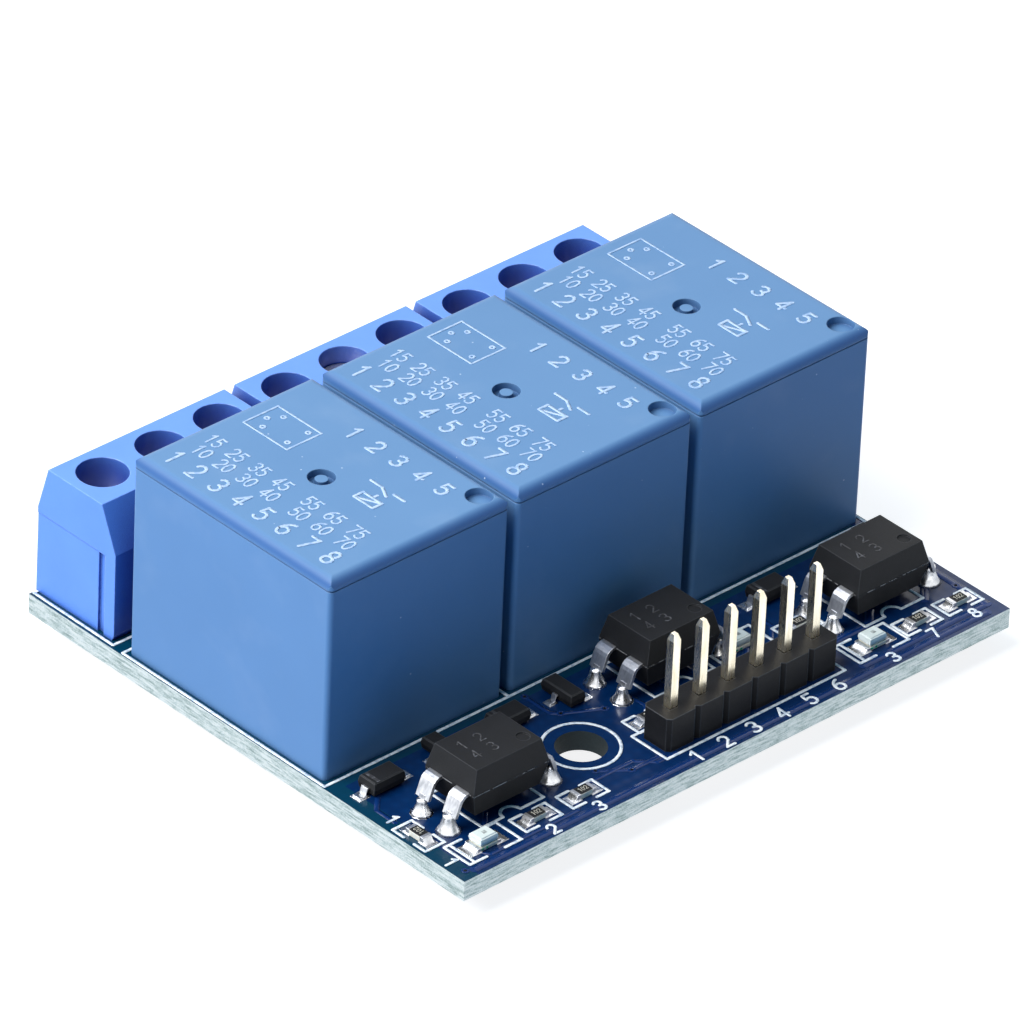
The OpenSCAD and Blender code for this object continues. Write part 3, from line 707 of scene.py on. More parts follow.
NUMERALS = {
    "0": [arc(0.3, 0.5, 0.3, 0.5, 0, 360, 14)],
    "1": [[(0.08, 0.78), (0.34, 1), (0.34, 0)]],
    "2": [arc(0.3, 0.7, 0.29, 0.3, 165, -35, 8) + [(0, 0), (0.6, 0)]],
    "3": [arc(0.28, 0.75, 0.28, 0.25, 150, -90, 8), arc(0.28, 0.26, 0.31, 0.26, 90, -150, 9)],
    "4": [[(0.44, 0), (0.44, 1), (0, 0.28), (0.62, 0.28)]],
    "5": [[(0.54, 1), (0.08, 1), (0.04, 0.56)] + arc(0.27, 0.32, 0.32, 0.32, 125, -140, 9)],
    "6": [arc(0.3, 0.3, 0.3, 0.3, 0, 360, 12), arc(0.62, 0.3, 0.62, 0.7, 180, 100, 6)],
    "7": [[(0, 1), (0.6, 1), (0.2, 0)]],
    "8": [arc(0.3, 0.76, 0.24, 0.24, 0, 360, 11), arc(0.3, 0.26, 0.3, 0.26, 0, 360, 12)],
    "9": [arc(0.3, 0.7, 0.3, 0.3, 0, 360, 12), arc(-0.02, 0.7, 0.62, 0.7, 0, -80, 6)],
}
FIGURE_STEP, FIGURE_WIDTH = 0.86, 0.6
print("numerals:", "".join(NUMERALS))

# %% Setting numbers and simple figures
def turned(strokes, at, angle, scale=1.0):
    """Scales strokes, turns them by an angle in degrees and moves their zero to a place."""
    c, s = math.cos(math.radians(angle)) * scale, math.sin(math.radians(angle)) * scale
    return [[(at[0] + x * c - y * s, at[1] + x * s + y * c) for x, y in stroke] for stroke in strokes]


def number(text, at, height, angle=0.0, squeeze=1.0):
    """The strokes of a number whose middle is at a place. A blank leaves a gap."""
    width = ((len(text) - 1) * FIGURE_STEP + FIGURE_WIDTH) * squeeze
    strokes = []
    for k, figure in enumerate(text):
        for stroke in NUMERALS.get(figure, []):
            strokes.append([((x + k * FIGURE_STEP) * squeeze - width / 2, y - 0.5) for x, y in stroke])
    return turned(strokes, at, angle, height)


def box_line(x0, y0, x1, y1):
    """The outline of a box as one stroke."""
    return [[(x0, y0), (x1, y0), (x1, y1), (x0, y1), (x0, y0)]]


def ring(x, y, radius, steps=24):
    """A circle as one stroke."""
    return [arc(x, y, radius, radius, 0, 360, steps)]


print("the number 28 takes", sum(len(s) for s in number("28", (0, 0), 1)), "points")

# %% [markdown]
# ### What is printed on the board
# The white print outlines each part, so that whoever fits the parts knows which goes where: a box
# round each relay and chip, brackets round the tiny parts, a ring round the mounting hole and a
# number beside each part. Places come from the solid pieces themselves wherever one stands there.

# %% Brackets and the places of the tiny parts
PRINT_WIDTH = 0.22
EDGE_GAP = 0.16
NOTCH_RADIUS = 0.75


def bracket(x, y, across=3.1, deep=1.65, gap=0.5, turn=0):
    """Two facing brackets round a two-ended chip part."""
    w, h = across / 2, deep / 2
    sides = [[(s * gap, -h), (s * w, -h), (s * w, h), (s * gap, h)] for s in (-1, 1)]
    return turned(sides, (x, y), turn)


def chip_places(node):
    """The middle of each lump of a node, with a turn of 90 degrees for one that lies along Y."""
    found = []
    for lump in islands(node):
        low, high = corners(lump)
        size = high - low
        found.append(((low.x + high.x) / 2, (low.y + high.y) / 2, 90 if size.y > size.x else 0))
    return sorted(found)


RESISTORS = chip_places("chip_resistors")
LAMPS = chip_places("indicator_lamps")
print("resistors:", len(RESISTORS), "and lamps:", len(LAMPS))

# %% Board print
print_lines = []
for channel in CHANNELS:
    low, high = extent(f"relay_case_{channel}")
    print_lines += box_line(max(low.x - 0.42, EDGE_GAP), low.y - 0.42, high.x + 0.3, high.y + 0.26)
    low, high = extent(f"terminal_housing_{channel}")
    print_lines += box_line(max(low.x - 0.3, EDGE_GAP), low.y - 0.3, high.x, board_size.y - EDGE_GAP)
for x, y, turn in RESISTORS:
    print_lines += bracket(x, y, turn=turn)
for x, y, turn in LAMPS:
    print_lines += bracket(x, y, 4.44, 2.44, 0.8) + [[(x - 1.77, y - 1.22), (x - 1.77, y + 1.22)]]
print_lines += ring(*HOLE, 2.6, 40)
for channel in CHANNELS:
    centre = middle(f"optocoupler_{channel}")
    x0, x1, y0, y1 = centre.x - 2.53, centre.x + 2.77, centre.y - 2.45, centre.y + 2.45
    box = [(x0, y0), (x0, y1), (x1, y1), (x1, y0)]
    print_lines += [[(centre.x - NOTCH_RADIUS, y0), *box, (centre.x + NOTCH_RADIUS, y0)]]
    print_lines += [arc(centre.x, y0, NOTCH_RADIUS, NOTCH_RADIUS, 0, 180)]
pin_boxes = sorted((corners(lump) for lump in islands("header_pins")), key=lambda b: b[0].x)
pin_x = [(low.x + high.x) / 2 for low, high in pin_boxes]
pin_y = (pin_boxes[0][0].y + pin_boxes[0][1].y) / 2
print_lines += box_line(pin_x[0] - 1.75, pin_y - 1.72, pin_x[-1] + 1.5, pin_y + 1.6)
board_print = draw("board_print", print_lines, PRINT_WIDTH, 0.035, 0.03, INK)
print("board print:", len(board_print.data.polygons), "faces")

# %% [markdown]
# The numbers beside the parts use a thinner pen. Header pins are numbered from 1 to 6, and every
# small part gets the number of its place in the row. The first lamp stands in a corner, so its
# number lies beside it and is turned.

# %% Numbers on the board
label_lines = []
for k, x in enumerate(pin_x):
    label_lines += number(str(k + 1), (x, 0.78), 1.12)
for k, (x, y, turn) in enumerate(RESISTORS):
    at = (x, y - 1.62) if turn == 0 else (x - 0.05, y + 2.4)
    label_lines += number(str(k + 1), at, 0.95, -90 if turn else 0)
for k, (x, y, turn) in enumerate(LAMPS):
    at, angle = ((x, y - 2.05), 0) if k else ((x - 2.95, y - 0.25), -90)
    label_lines += number(str(k + 1), at, 1.0, angle)
for channel in CHANNELS:
    centre = middle(f"optocoupler_{channel}")
    label_lines += number(str(channel), (centre.x + 0.3, centre.y + 3.2), 1.0)
board_numbers = draw("board_numbers", label_lines, 0.2, 0.03, 0.024, INK)
print("board numbers:", len(board_numbers.data.polygons), "faces")

# %% [markdown]
# ### Copper tracks and plated holes
# Under the lacquer the tracks stand a hair proud and look a shade lighter. They run as a board
# designer lays them: straight, with corners of 45 degrees, from pad to pad. Two long ones follow the
# front edge and feed the lamps. Small plated holes join them to the other side of the board.

# %% Tracks and small plated holes
fine_tracks = [[(1.0, 7.6), (1.0, 9.4), (2.2, 10.6), (2.2, 11.2)],
               [(2.6, 2.3), (3.4, 1.2), (10.9, 1.2), (12.0, 2.3)],
               [(5.0, 3.6), (6.3, 4.9), (6.3, 9.4), (8.4, 11.2)],
               [(13.2, 3.0), (17.4, 3.0), (18.6, 1.9), (20.2, 1.9)],
               [(11.9, 7.3), (13.2, 8.6), (13.2, 11.2)],
               [(17.0, 12.8), (17.0, 10.4), (17.5, 9.9), (20.1, 8.5)],
               [(14.8, 3.7), (16.7, 2.3), (19.4, 2.3)]]
for k, x in enumerate(pin_x):
    turn_y = pin_y + 2.2 + 0.3 * k
    fine_tracks.append([(x, pin_y), (x, turn_y), (x + 1.4, turn_y + 1.4), (x + 1.4, 8.2 + 0.3 * k)])
wide_tracks = [[(1.4, 0.62), (47.2, 0.62)], [(36.5, 1.35), (47.9, 1.35), (47.9, 12.6)],
               [(36.9, 4.6), (40.2, 4.6), (41.4, 5.8)], [(45.0, 4.3), (46.6, 5.9), (46.6, 12.4)],
               [(16.4, 14.8), (16.4, 33.0)], [(32.5, 14.8), (32.5, 33.0)]]
draw("tracks_fine", fine_tracks, 0.36, 0.008, 0.02, TRACK)
draw("tracks_wide", wide_tracks, 0.62, 0.008, 0.021, TRACK)
VIAS = [(0.87, 0.86), (17.0, 12.8), (17.5, 9.9), (20.1, 8.5), (14.8, 3.7), (16.7, 2.3), (47.8, 4.2),
        (34.4, 11.1), (13.2, 8.6), (6.3, 9.4)]
via_rims = [line for x, y in VIAS for line in ring(x, y, 0.2, 12)]
draw("via_rings", via_rims, 0.17, 0.014, 0.024, TRACK)
# The holes are not cut: a dark dot on each is painted shade for the inside of the hole.
draw("via_holes", dots(VIAS), 0.24, 0.014, 0.03, RESIN)
print("tracks:", len(fine_tracks) + len(wide_tracks), "and small holes:", len(VIAS))

# %% [markdown]
# ## What is printed on the relays
# The print on a relay's top names nobody and no type. Three rows of plain counting numbers run along
# the left side, and to their right stand a map of the pins, the sign for a coil with its contact and
# the pins' numbers. The rows read from the back to the front, so they are turned by a quarter.

# %% Relay print
def relay_print(channel):
    """Strokes in board millimetres for one relay's top, in a bold pen and in a fine one."""
    low, high = extent(f"relay_case_{channel}")

    def spot(along, across):
        """A place that far in front of the back edge and that far from the left side."""
        return low.x + across, high.y - along

    bold = number("1 2 3 4 5 6 7 8", spot(9.3, 1.95), 1.45, -90, 0.86)
    fine = number("10 20 30 40  50 60 70", spot(9.3, 3.75), 1.05, -90, 0.8)
    fine += number("15 25 35 45  55 65 75", spot(8.9, 5.2), 1.05, -90, 0.8)
    fine += turned(box_line(-2.1, -1.5, 2.1, 1.5), spot(3.6, 9.6), -90)
    for along, across in ((-1.5, 0), (-0.9, 0.9), (-0.9, -0.9), (1.5, 0.9), (1.5, -0.9)):
        fine += ring(*spot(3.6 + along, 9.6 + across), 0.16, 8)
    sign = [[(-1.6, 0.9), (-0.5, 0.9)], [(1.6, 0.9), (0.6, 0.9)], [(-0.5, 0.9), (0.45, 0.35)],
            [(0, 0), (0, -0.3)], *box_line(-0.9, -1.2, 0.9, -0.4), [(-0.9, -1.2), (0.9, -0.4)]]
    bold += turned(sign, spot(13.4, 9.0), -90)
    bold += number("1 2 3 4 5", spot(11.3, 12.8), 1.25, -90, 1.0)
    return bold, fine


for channel in CHANNELS:
    bold, fine = relay_print(channel)
    top = extent(f"relay_case_{channel}")[1].z
    draw(f"relay_print_bold_{channel}", bold, 0.23, top + 0.008, 0.02, RELAY_INK, "relay_case_plastic")
    draw(f"relay_print_fine_{channel}", fine, 0.155, top + 0.008, 0.02, RELAY_INK, "relay_case_plastic")
print("printed", len(CHANNELS), "relay tops, each with", len(bold) + len(fine), "strokes")

# %% [markdown]
# ## Solder
# Solder climbs a pin as a cone with hollow sides: wide on the pad, thin at the neck. A tree shapes
# one cone from a plain cylinder by moving its points with a formula, then sets it on every pin. The
# height that is still to climb is squared, so the side curves inwards as that of liquid metal does.

# %% The solder tree
def solder_tree():
    """A cone of solder on each point of the base mesh. A tilt turns the cones to hang below."""
    work, given = new_tree("solder", {
        "Height": ("Float", 1.2 * MM), "Foot": ("Float", 0.9 * MM), "Neck": ("Float", 0.35 * MM),
        "Tilt": ("Vector", (0, 0, 0)), "Material": ("Material", None)})
    rod = work.node("GeometryNodeMeshCylinder", inputs={
        "Vertices": 18, "Side Segments": 7, "Radius": 1.0, "Depth": 1.0})
    place = work.node("ShaderNodeSeparateXYZ", inputs={0: work.node("GeometryNodeInputPosition")})
    x, y, z = (Socket(work, place.link.node.outputs[k]) for k in range(3))
    climb = z + 0.5
    radius = given["Neck"] + (given["Foot"] - given["Neck"]) * (1 - climb) * (1 - climb)
    shaped = work.node("ShaderNodeCombineXYZ", inputs={
        0: x * radius, 1: y * radius, 2: climb * given["Height"]})
    cone = work.node("GeometryNodeSetPosition", inputs={0: rod, "Position": shaped})
    smooth = work.node("GeometryNodeSetShadeSmooth", inputs={0: cone})
    size = work.node("FunctionNodeRandomValue", {"data_type": "FLOAT"}, {
        2: 0.9, 3: 1.1, "Seed": 4}, 1)
    placed = work.node("GeometryNodeInstanceOnPoints", inputs={
        0: given["Geometry"], "Instance": smooth, "Rotation": given["Tilt"], "Scale": size})
    return close_tree(work, placed, given["Material"])


CONE_TREE = solder_tree()
print("the solder tree has", len(CONE_TREE.nodes), "nodes")

# %% Where the pins come out
def points_mesh(name, places, z):
    """A mesh of loose points, one at each place, for a tree to set things on."""
    mesh = bpy.data.meshes.new(name)
    mesh.from_pydata([on_board(x, y, z) for x, y in places], [], [])
    return mesh


def tails(node):
    """Where the pins of a solid piece come out below the board, in board millimetres."""
    found = []
    for lump in islands(node):
        low_part = [p for p in lump if p.z < -board_size.z - 0.2]
        if low_part:
            low, high = corners(low_part)
            found.append(((low.x + high.x) / 2, (low.y + high.y) / 2))
    return found


big_pins = [place for channel in CHANNELS for kind in ("relay_pins", "terminal_contacts")
            for place in tails(f"{kind}_{channel}")]
chip_feet = [place for channel in CHANNELS for place in tails(f"optocoupler_leads_{channel}")]
small_pins = tails("header_pins") + chip_feet
print(len(big_pins), "large and", len(small_pins), "small pins come out below the board")

# %% Solder and pads on both sides
DOWN = (math.pi, 0, 0)


def solder(name, places, z, height, foot, neck, tilt=(0, 0, 0)):
    """Cones of solder at the places, with all their sizes in millimetres."""
    return grow(name, CONE_TREE, points_mesh(name, places, z), BOARD_BODY, "tinned_brass",
                Height=height * MM, Foot=foot * MM, Neck=neck * MM, Tilt=tilt, Material=SOLDER)


under = -board_size.z
solder("solder_below_large", big_pins, under + 0.02, 1.35, 1.15, 0.5, DOWN)
solder("solder_below_small", small_pins, under + 0.02, 1.0, 0.8, 0.3, DOWN)
draw("pads_below_large", dots(big_pins), 2.6, under - 0.004, 0.04, TIN)
draw("pads_below_small", dots(small_pins), 1.85, under - 0.004, 0.04, TIN)
solder("solder_above", chip_feet, -0.01, 1.2, 0.8, 0.36)
draw("pads_above", dots(chip_feet), 1.56, 0.012, 0.035, SOLDER)

# %% [markdown]
# Thick tracks under the board carry the load current from each relay contact to its screw terminal.
# They end at the pins that were found above, and take a corner of 45 degrees on the way. A number
# for each channel is printed beside them. It is seen from below, so it is mirrored.

# %% Tracks and numbers below
def elbow(start, end):
    """A track that leaves straight along Y and then turns by 45 degrees to reach its end."""
    across = end[0] - start[0]
    bend = end[1] - math.copysign(abs(across), end[1] - start[1])
    return [start, (start[0], bend), end]


def mirrored(strokes):
    """The same strokes as they must be printed to read well from below."""
    middle_x = sum(x for stroke in strokes for x, y in stroke) / sum(len(stroke) for stroke in strokes)
    return [[(2 * middle_x - x, y) for x, y in stroke] for stroke in strokes]


load_tracks, coil_tracks, below_numbers = [], [], []
for channel in CHANNELS:
    legs = sorted(tails(f"terminal_contacts_{channel}"))
    by_depth = sorted(tails(f"relay_pins_{channel}"), key=lambda p: p[1])
    back_pins = sorted(by_depth[-2:])
    load_tracks += [elbow(legs[0], back_pins[0]), elbow(legs[2], back_pins[1])]
    load_tracks.append([legs[1], (legs[1][0], by_depth[0][1] + 2.6), by_depth[0]])
    chip = sorted(tails(f"optocoupler_leads_{channel}"))
    input_x = pin_x[channel - 1]
    coil_tracks.append(elbow(chip[-1], by_depth[1]))
    coil_tracks.append([chip[0], (chip[0][0], 1.6), (input_x, 1.6), (input_x, pin_y)])
    below_numbers += mirrored(number(str(channel), (legs[1][0] - 2.6, legs[1][1] - 2.6), 1.9))
draw("tracks_below_load", load_tracks, 2.0, under - 0.006, 0.03, TRACK)
draw("tracks_below_coil", coil_tracks, 0.5, under - 0.005, 0.024, TRACK)
draw("numbers_below", below_numbers, 0.26, under - 0.03, 0.02, INK)
print("tracks below:", len(load_tracks) + len(coil_tracks))

# %% [markdown]
# ## The tiny parts
# The CAD file has each tiny part as one plain lump. Up close a chip resistor is a white ceramic brick
# with a black glass coat and two tinned ends, each in a small slope of solder on a bright pad. Every
# such layer is modelled once, in millimetres round a zero point, and a node tree sets it out at all
# the places. Each layer is a mesh of its own, because the tree paints its whole result in one finish.

# %% The setting-out tree
def set_out_tree():
    """Sets a part's mesh out at each point of the base mesh, turned as the point says."""
    work, given = new_tree("set out", {"Part": ("Object", None), "Material": ("Material", None)})
    part = work.node("GeometryNodeObjectInfo", inputs={0: given["Part"]}, output="Geometry")
    turn_of = work.node("GeometryNodeInputNamedAttribute", {"data_type": "FLOAT"}, {0: "turn"})
    spin = work.node("ShaderNodeCombineXYZ", inputs={2: turn_of})
    placed = work.node("GeometryNodeInstanceOnPoints", inputs={
        0: given["Geometry"], "Instance": part, "Rotation": spin})
    return close_tree(work, placed, given["Material"])


LAYER_TREE = set_out_tree()
print("the setting-out tree has", len(LAYER_TREE.nodes), "nodes")

# %% [markdown]
# Three shapes are enough for the tiny parts: a block with rounded edges, a flat outline that is given
# a width, and a moulded body whose sides lean in, as they must so that it comes out of its mould.

# %% Shapes of the tiny parts
def add_block(work, centre, size, round_off=0.03):
    """A box with rounded edges, in millimetres."""
    made = bmesh.ops.create_cube(work, size=1.0)
    for vertex in made["verts"]:
        vertex.co = Vector([centre[k] + vertex.co[k] * size[k] for k in range(3)])
    edges = list({edge for vertex in made["verts"] for edge in vertex.link_edges})
    bmesh.ops.bevel(work, geom=edges, offset=round_off, segments=2, affect="EDGES", profile=0.6)


def add_profile(work, outline, width, round_off=0.0):
    """A closed outline in X and Z, given a width along Y about zero."""
    face = work.faces.new([work.verts.new((x, -width / 2, z)) for x, z in outline])
    grown = bmesh.ops.extrude_face_region(work, geom=[face])
    moved = [v for v in grown["geom"] if isinstance(v, bmesh.types.BMVert)]
    bmesh.ops.translate(work, verts=moved, vec=(0, width, 0))
    if round_off:
        edges = list({e for v in moved for e in v.link_edges} | set(face.edges))
        bmesh.ops.bevel(work, geom=edges, offset=round_off, segments=2, affect="EDGES")


def add_moulding(work, length, width, low, high, draft, round_off=0.05):
    """A moulded body: widest in the middle, with its four sides leaning in above and below."""
    rings = []
    for z, inset in ((low, draft), ((low + high) / 2, 0), (high, draft)):
        x, y = length / 2 - inset, width / 2 - inset
        round_trip = ((-x, -y), (x, -y), (x, y), (-x, y))
        rings.append([work.verts.new((px, py, z)) for px, py in round_trip])
    faces = [work.faces.new(rings[0][::-1]), work.faces.new(rings[2])]
    for lower, upper in zip(rings, rings[1:]):
        for k in range(4):
            faces.append(work.faces.new((lower[k], lower[(k + 1) % 4], upper[(k + 1) % 4], upper[k])))
    edges = list({e for f in (faces[0], faces[1]) for e in f.edges})
    bmesh.ops.bevel(work, geom=edges, offset=round_off, segments=3, affect="EDGES")


print("shapes ready: block, profile and moulding")

# %% Setting a layer out on the board
def set_out(name, build, places, material, slot, stands_for=None):
    """Builds one layer in millimetres and sets it out at (x, y, turn) places on the board."""
    work = bmesh.new()
    build(work)
    bmesh.ops.recalc_face_normals(work, faces=work.faces)
    bmesh.ops.scale(work, vec=(MM, MM, MM), verts=work.verts)
    layer = bpy.data.meshes.new(name + " layer")
    work.to_mesh(layer)
    work.free()
    part = bpy.data.objects.new(name + " layer", layer)
    base = points_mesh(name, [(x, y) for x, y, turn in places], 0)
    turns = base.attributes.new("turn", "FLOAT", "POINT")
    turns.data.foreach_set("value", [math.radians(turn) for x, y, turn in places])
    piece = grow(name, LAYER_TREE, base, BOARD_BODY, slot, Part=part, Material=material)
    bpy.data.objects.remove(part)
    if stands_for:
        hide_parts(stands_for)
    return piece


print("places for the tiny parts:", len(RESISTORS), "resistors and", len(LAMPS), "lamps")

# %% Layers of a chip resistor
brick_low, brick_high = corners(islands("chip_resistors")[0])
CHIP_L, CHIP_W, CHIP_H = 1.6, 0.8, brick_high.z - brick_low.z
CHIP_END = 0.3


def chip_core(work):
    add_block(work, (0, 0, CHIP_H * 0.47), (CHIP_L - 0.1, CHIP_W - 0.03, CHIP_H * 0.86), 0.02)


def chip_coat(work):
    add_block(work, (0, 0, CHIP_H * 0.93), (CHIP_L - 2 * CHIP_END + 0.06, CHIP_W - 0.07, 0.09), 0.03)


def chip_ends(work):
    for side in (-1, 1):
        add_block(work, (side * (CHIP_L - CHIP_END) / 2, 0, CHIP_H / 2), (CHIP_END, CHIP_W, CHIP_H), 0.04)


def solder_slopes(half_length, width, height, reach=0.42):
    """Slopes of solder at both ends of a part, and the bright pads that they stand on."""
    def build(work):
        curve = [(k / 6, (1 - k / 6) ** 2.2) for k in range(7)]
        for side in (-1, 1):
            slope = [(side * (half_length + reach * x), 0.02 + height * z) for x, z in curve]
            inner = side * (half_length - 0.08)
            add_profile(work, [(inner, 0.02), *slope[::-1], (inner, 0.02 + height)], width * 0.94, 0.015)
            add_block(work, (side * (half_length + reach / 2 - 0.12), 0, 0.02),
                      (reach + 0.5, width + 0.16, 0.04), 0.012)
    return build


print("a resistor is", [round(v, 2) for v in (CHIP_L, CHIP_W, CHIP_H)], "mm")

# %% Chip resistors
set_out("resistor_cores", chip_core, RESISTORS, BOBBIN, "resistor_ceramic", "chip_resistors")
set_out("resistor_coats", chip_coat, RESISTORS, RESIN, "resistor_ceramic")
set_out("resistor_ends", chip_ends, RESISTORS, TIN, "tinned_brass")
resistor_solder = solder_slopes(CHIP_L / 2, CHIP_W, CHIP_H * 0.8)
set_out("resistor_solder", resistor_solder, RESISTORS, SOLDER, "tinned_brass")
marks = []
for x, y, turn in RESISTORS:
    marks += number("102", (x, y), 0.36, turn, 0.82)
draw("resistor_numbers", marks, 0.05, CHIP_H + 0.02, 0.012, BOBBIN, "resistor_ceramic")
print("resistors:", len(RESISTORS), "places, each in five layers")

# %% [markdown]
# The lamps are light-emitting diodes: a thin white base with tinned ends and a clear block of resin
# on top, through which the tiny chip in its bowl can be made out.

# %% Finishes of the lamps
def lens_finish():
    finish = Finish("lamp resin")
    low_down = finish.part_of(finish.place, "Z")
    cloud = finish.noise(1.5, 3)
    tint = finish.blend(cloud, srgb(204, 214, 210), srgb(232, 238, 235))
    deeper = finish.blend((low_down < board_high.z + 0.5 * MM) * 0.35, tint, srgb(160, 176, 168))
    return finish.surface(
        edge_mm=0.05, Base_Color=deeper, Roughness=0.12 + cloud * 0.1, Coat_Weight=0.5, bump=cloud)


LENS = lens_finish()
MARK_GREEN = ink_finish("cathode mark", srgb(30, 130, 96), srgb(60, 178, 132), 0.1)
BASE_GREY = ink_finish("chip under resin", srgb(120, 126, 124), srgb(176, 182, 180), 0.1)
print("lamp finishes:", [m.name for m in (LENS, MARK_GREEN, BASE_GREY)])

# %% Indicator lamps
def lamp_base(work):
    add_block(work, (0, 0, 0.17), (1.6, 1.22, 0.26), 0.03)


def lamp_ends(work):
    for side in (-1, 1):
        add_block(work, (side * 0.86, 0, 0.17), (0.3, 1.25, 0.3), 0.03)
    add_block(work, (-0.3, 0, 0.31), (0.5, 0.5, 0.03), 0.01)


def lamp_lens(work):
    add_moulding(work, 1.5, 1.2, 0.3, 0.92, 0.06, 0.08)


def lamp_mark(work):
    add_block(work, (-0.62, -0.56, 0.2), (0.22, 0.16, 0.14), 0.02)
    add_block(work, (-0.2, -0.6, 0.17), (0.16, 0.06, 0.18), 0.02)


def lamp_chip(work):
    add_block(work, (0.05, 0, 0.926), (0.3, 0.3, 0.012), 0.004)


set_out("lamp_bases", lamp_base, LAMPS, BOBBIN, "lamp_resin", "indicator_lamps")
set_out("lamp_ends", lamp_ends, LAMPS, TIN, "tinned_brass")
set_out("lamp_lenses", lamp_lens, LAMPS, LENS, "lamp_resin")
set_out("lamp_marks", lamp_mark, LAMPS, MARK_GREEN, "lamp_resin")
set_out("lamp_chips", lamp_chip, LAMPS, BASE_GREY, "lamp_resin")
set_out("lamp_solder", solder_slopes(1.0, 1.2, 0.25, 0.5), LAMPS, SOLDER, "tinned_brass")
print("lamps:", len(LAMPS))

# %% [markdown]
# Diodes and transistors are black moulded bodies with flat leads that step down to the board. A
# diode has one lead at each end and a pale band at its cathode, a transistor has two on one side
# and one on the other.

# %% Bodies, leads and pads
def drafted(length, width, height):
    """The body of a diode or a transistor, a little clear of the board."""
    return lambda work: add_moulding(work, length, width, 0.1, height, 0.09, 0.06)


def step_lead(start, reach, height, width, at=0.0, side=1):
    """A flat lead from the body's side down to a foot."""
    t = 0.07
    bend, ankle = start + reach * 0.25, start + reach * 0.5
    line = [(start - 0.15, height), (bend, height), (ankle, t), (start + reach, t)]
    outline = [(side * x, z + t) for x, z in line] + [(side * (x - 0.03), z - t) for x, z in line[::-1]]

    def build(work):
        before = set(work.verts)
        add_profile(work, outline, width, 0.012)
        new = [v for v in work.verts if v not in before]
        bmesh.ops.translate(work, verts=new, vec=(0, at, 0))
    return build


def foot_pads(places):
    """Pads and low mounds of solder at each (x, y, length, width) of a part."""
    def build(work):
        for x, y, length, width in places:
            add_block(work, (x, y, 0.02), (length, width, 0.04), 0.012)
            add_block(work, (x, y, 0.09), (length * 0.72, width * 0.78, 0.14), 0.06)
    return build


print("three helpers shape the bodies, leads and pads")

# %% Diodes and transistors
def diode_leads(work):
    for side in (-1, 1):
        step_lead(1.35, 0.6, 0.55, 0.6, side=side)(work)


def diode_band(work):
    add_block(work, (-0.85, 0, 1.106), (0.26, 1.3, 0.012), 0.004)


def transistor_leads(work):
    for at in (-0.95, 0.95):
        step_lead(0.65, 0.55, 0.5, 0.42, at)(work)
    step_lead(0.65, 0.55, 0.5, 0.42, 0, -1)(work)


DIODES = chip_places("diodes")
TRANSISTORS = [(x, y, turn - 90) for x, y, turn in chip_places("transistors")]
set_out("diode_bodies", drafted(2.7, 1.6, 1.1), DIODES, RESIN, "moulding_resin", "diodes")
set_out("diode_leads", diode_leads, DIODES, TIN, "tinned_brass")
set_out("diode_bands", diode_band, DIODES, RESIN_INK, "moulding_resin")
diode_pads = foot_pads([(x, 0, 0.95, 0.95) for x in (-1.85, 1.85)])
set_out("diode_solder", diode_pads, DIODES, SOLDER, "tinned_brass")
set_out("transistor_bodies", drafted(1.3, 2.9, 1.0), TRANSISTORS, RESIN, "moulding_resin", "transistors")
set_out("transistor_leads", transistor_leads, TRANSISTORS, TIN, "tinned_brass")
transistor_pads = foot_pads([(x, y, 0.75, 0.7) for x, y in ((1.1, -0.95), (1.1, 0.95), (-1.1, 0))])
set_out("transistor_solder", transistor_pads, TRANSISTORS, SOLDER, "tinned_brass")
print("diodes:", len(DIODES), "transistors:", len(TRANSISTORS))

# %% [markdown]
# The chips' housings carry faint laser marks: the numbers of the four pins, which can only be read
# close up.

# %% Faint numbers on the chips
chip_marks = []
for channel in CHANNELS:
    centre = middle(f"optocoupler_{channel}")
    chip_marks += number("1 2", (centre.x - 0.9, centre.y + 0.7), 0.85)
    chip_marks += number("4 3", (centre.x - 0.9, centre.y - 0.6), 0.85)
chip_low, chip_high = extent("optocoupler_1")
draw("chip_numbers", chip_marks, 0.1, chip_high.z + 0.006, 0.012, RESIN_INK, "moulding_resin")
print("chip numbers:", len(chip_marks), "strokes")

# %% [markdown]
# Where the two halves of the mould met, a paper-thin flash of resin stands out round the middle of
# each housing. It breaks off in places, so its finish fades in and out along the way.

# %% Mould seams of the chips
def seam_finish():
    finish = Finish("mould flash")
    breaks = finish.noise(1.6, 4)
    there = finish.ramp(breaks, [(0.44, 0.0), (0.56, 1.0)])
    # The flash is real, its pale grey is a painted highlight where the thin lip catches light.
    return finish.surface(Base_Color=finish.blend(breaks, srgb(58, 58, 60), srgb(140, 140, 142)),
                          Roughness=0.5 + breaks * 0.2, Alpha=there)


seams = []
for channel in CHANNELS:
    low, high = extent(f"optocoupler_{channel}")
    seams += box_line(low.x, low.y, high.x, high.y)
seam_height = (chip_low.z + chip_high.z) / 2
draw("chip_seams", seams, 0.06, seam_height, 0.05, seam_finish(), "moulding_resin")
print("seams round", len(seams), "housings")

# %% [markdown]
# ## Floor, light and camera
# The board stands on its solder pins on a white table. The floor gets its white from a little glow
# that only the camera and mirrors see, so it stays white without more lamps on the object, and its
# plain matt part still takes the object's shadow. What fills that shade is cool: the light that
# bounces off the table is blue.

# %% Table
def seen_directly(finish):
    """1 for rays from the camera, from mirrors and through glass, 0 for light that bounces around."""
    from_camera = finish.node("ShaderNodeLightPath", output="Is Camera Ray")
    rays = from_camera.link.node.outputs
    return from_camera + Socket(finish, rays["Is Glossy Ray"]) + Socket(finish, rays["Is Transmission Ray"])


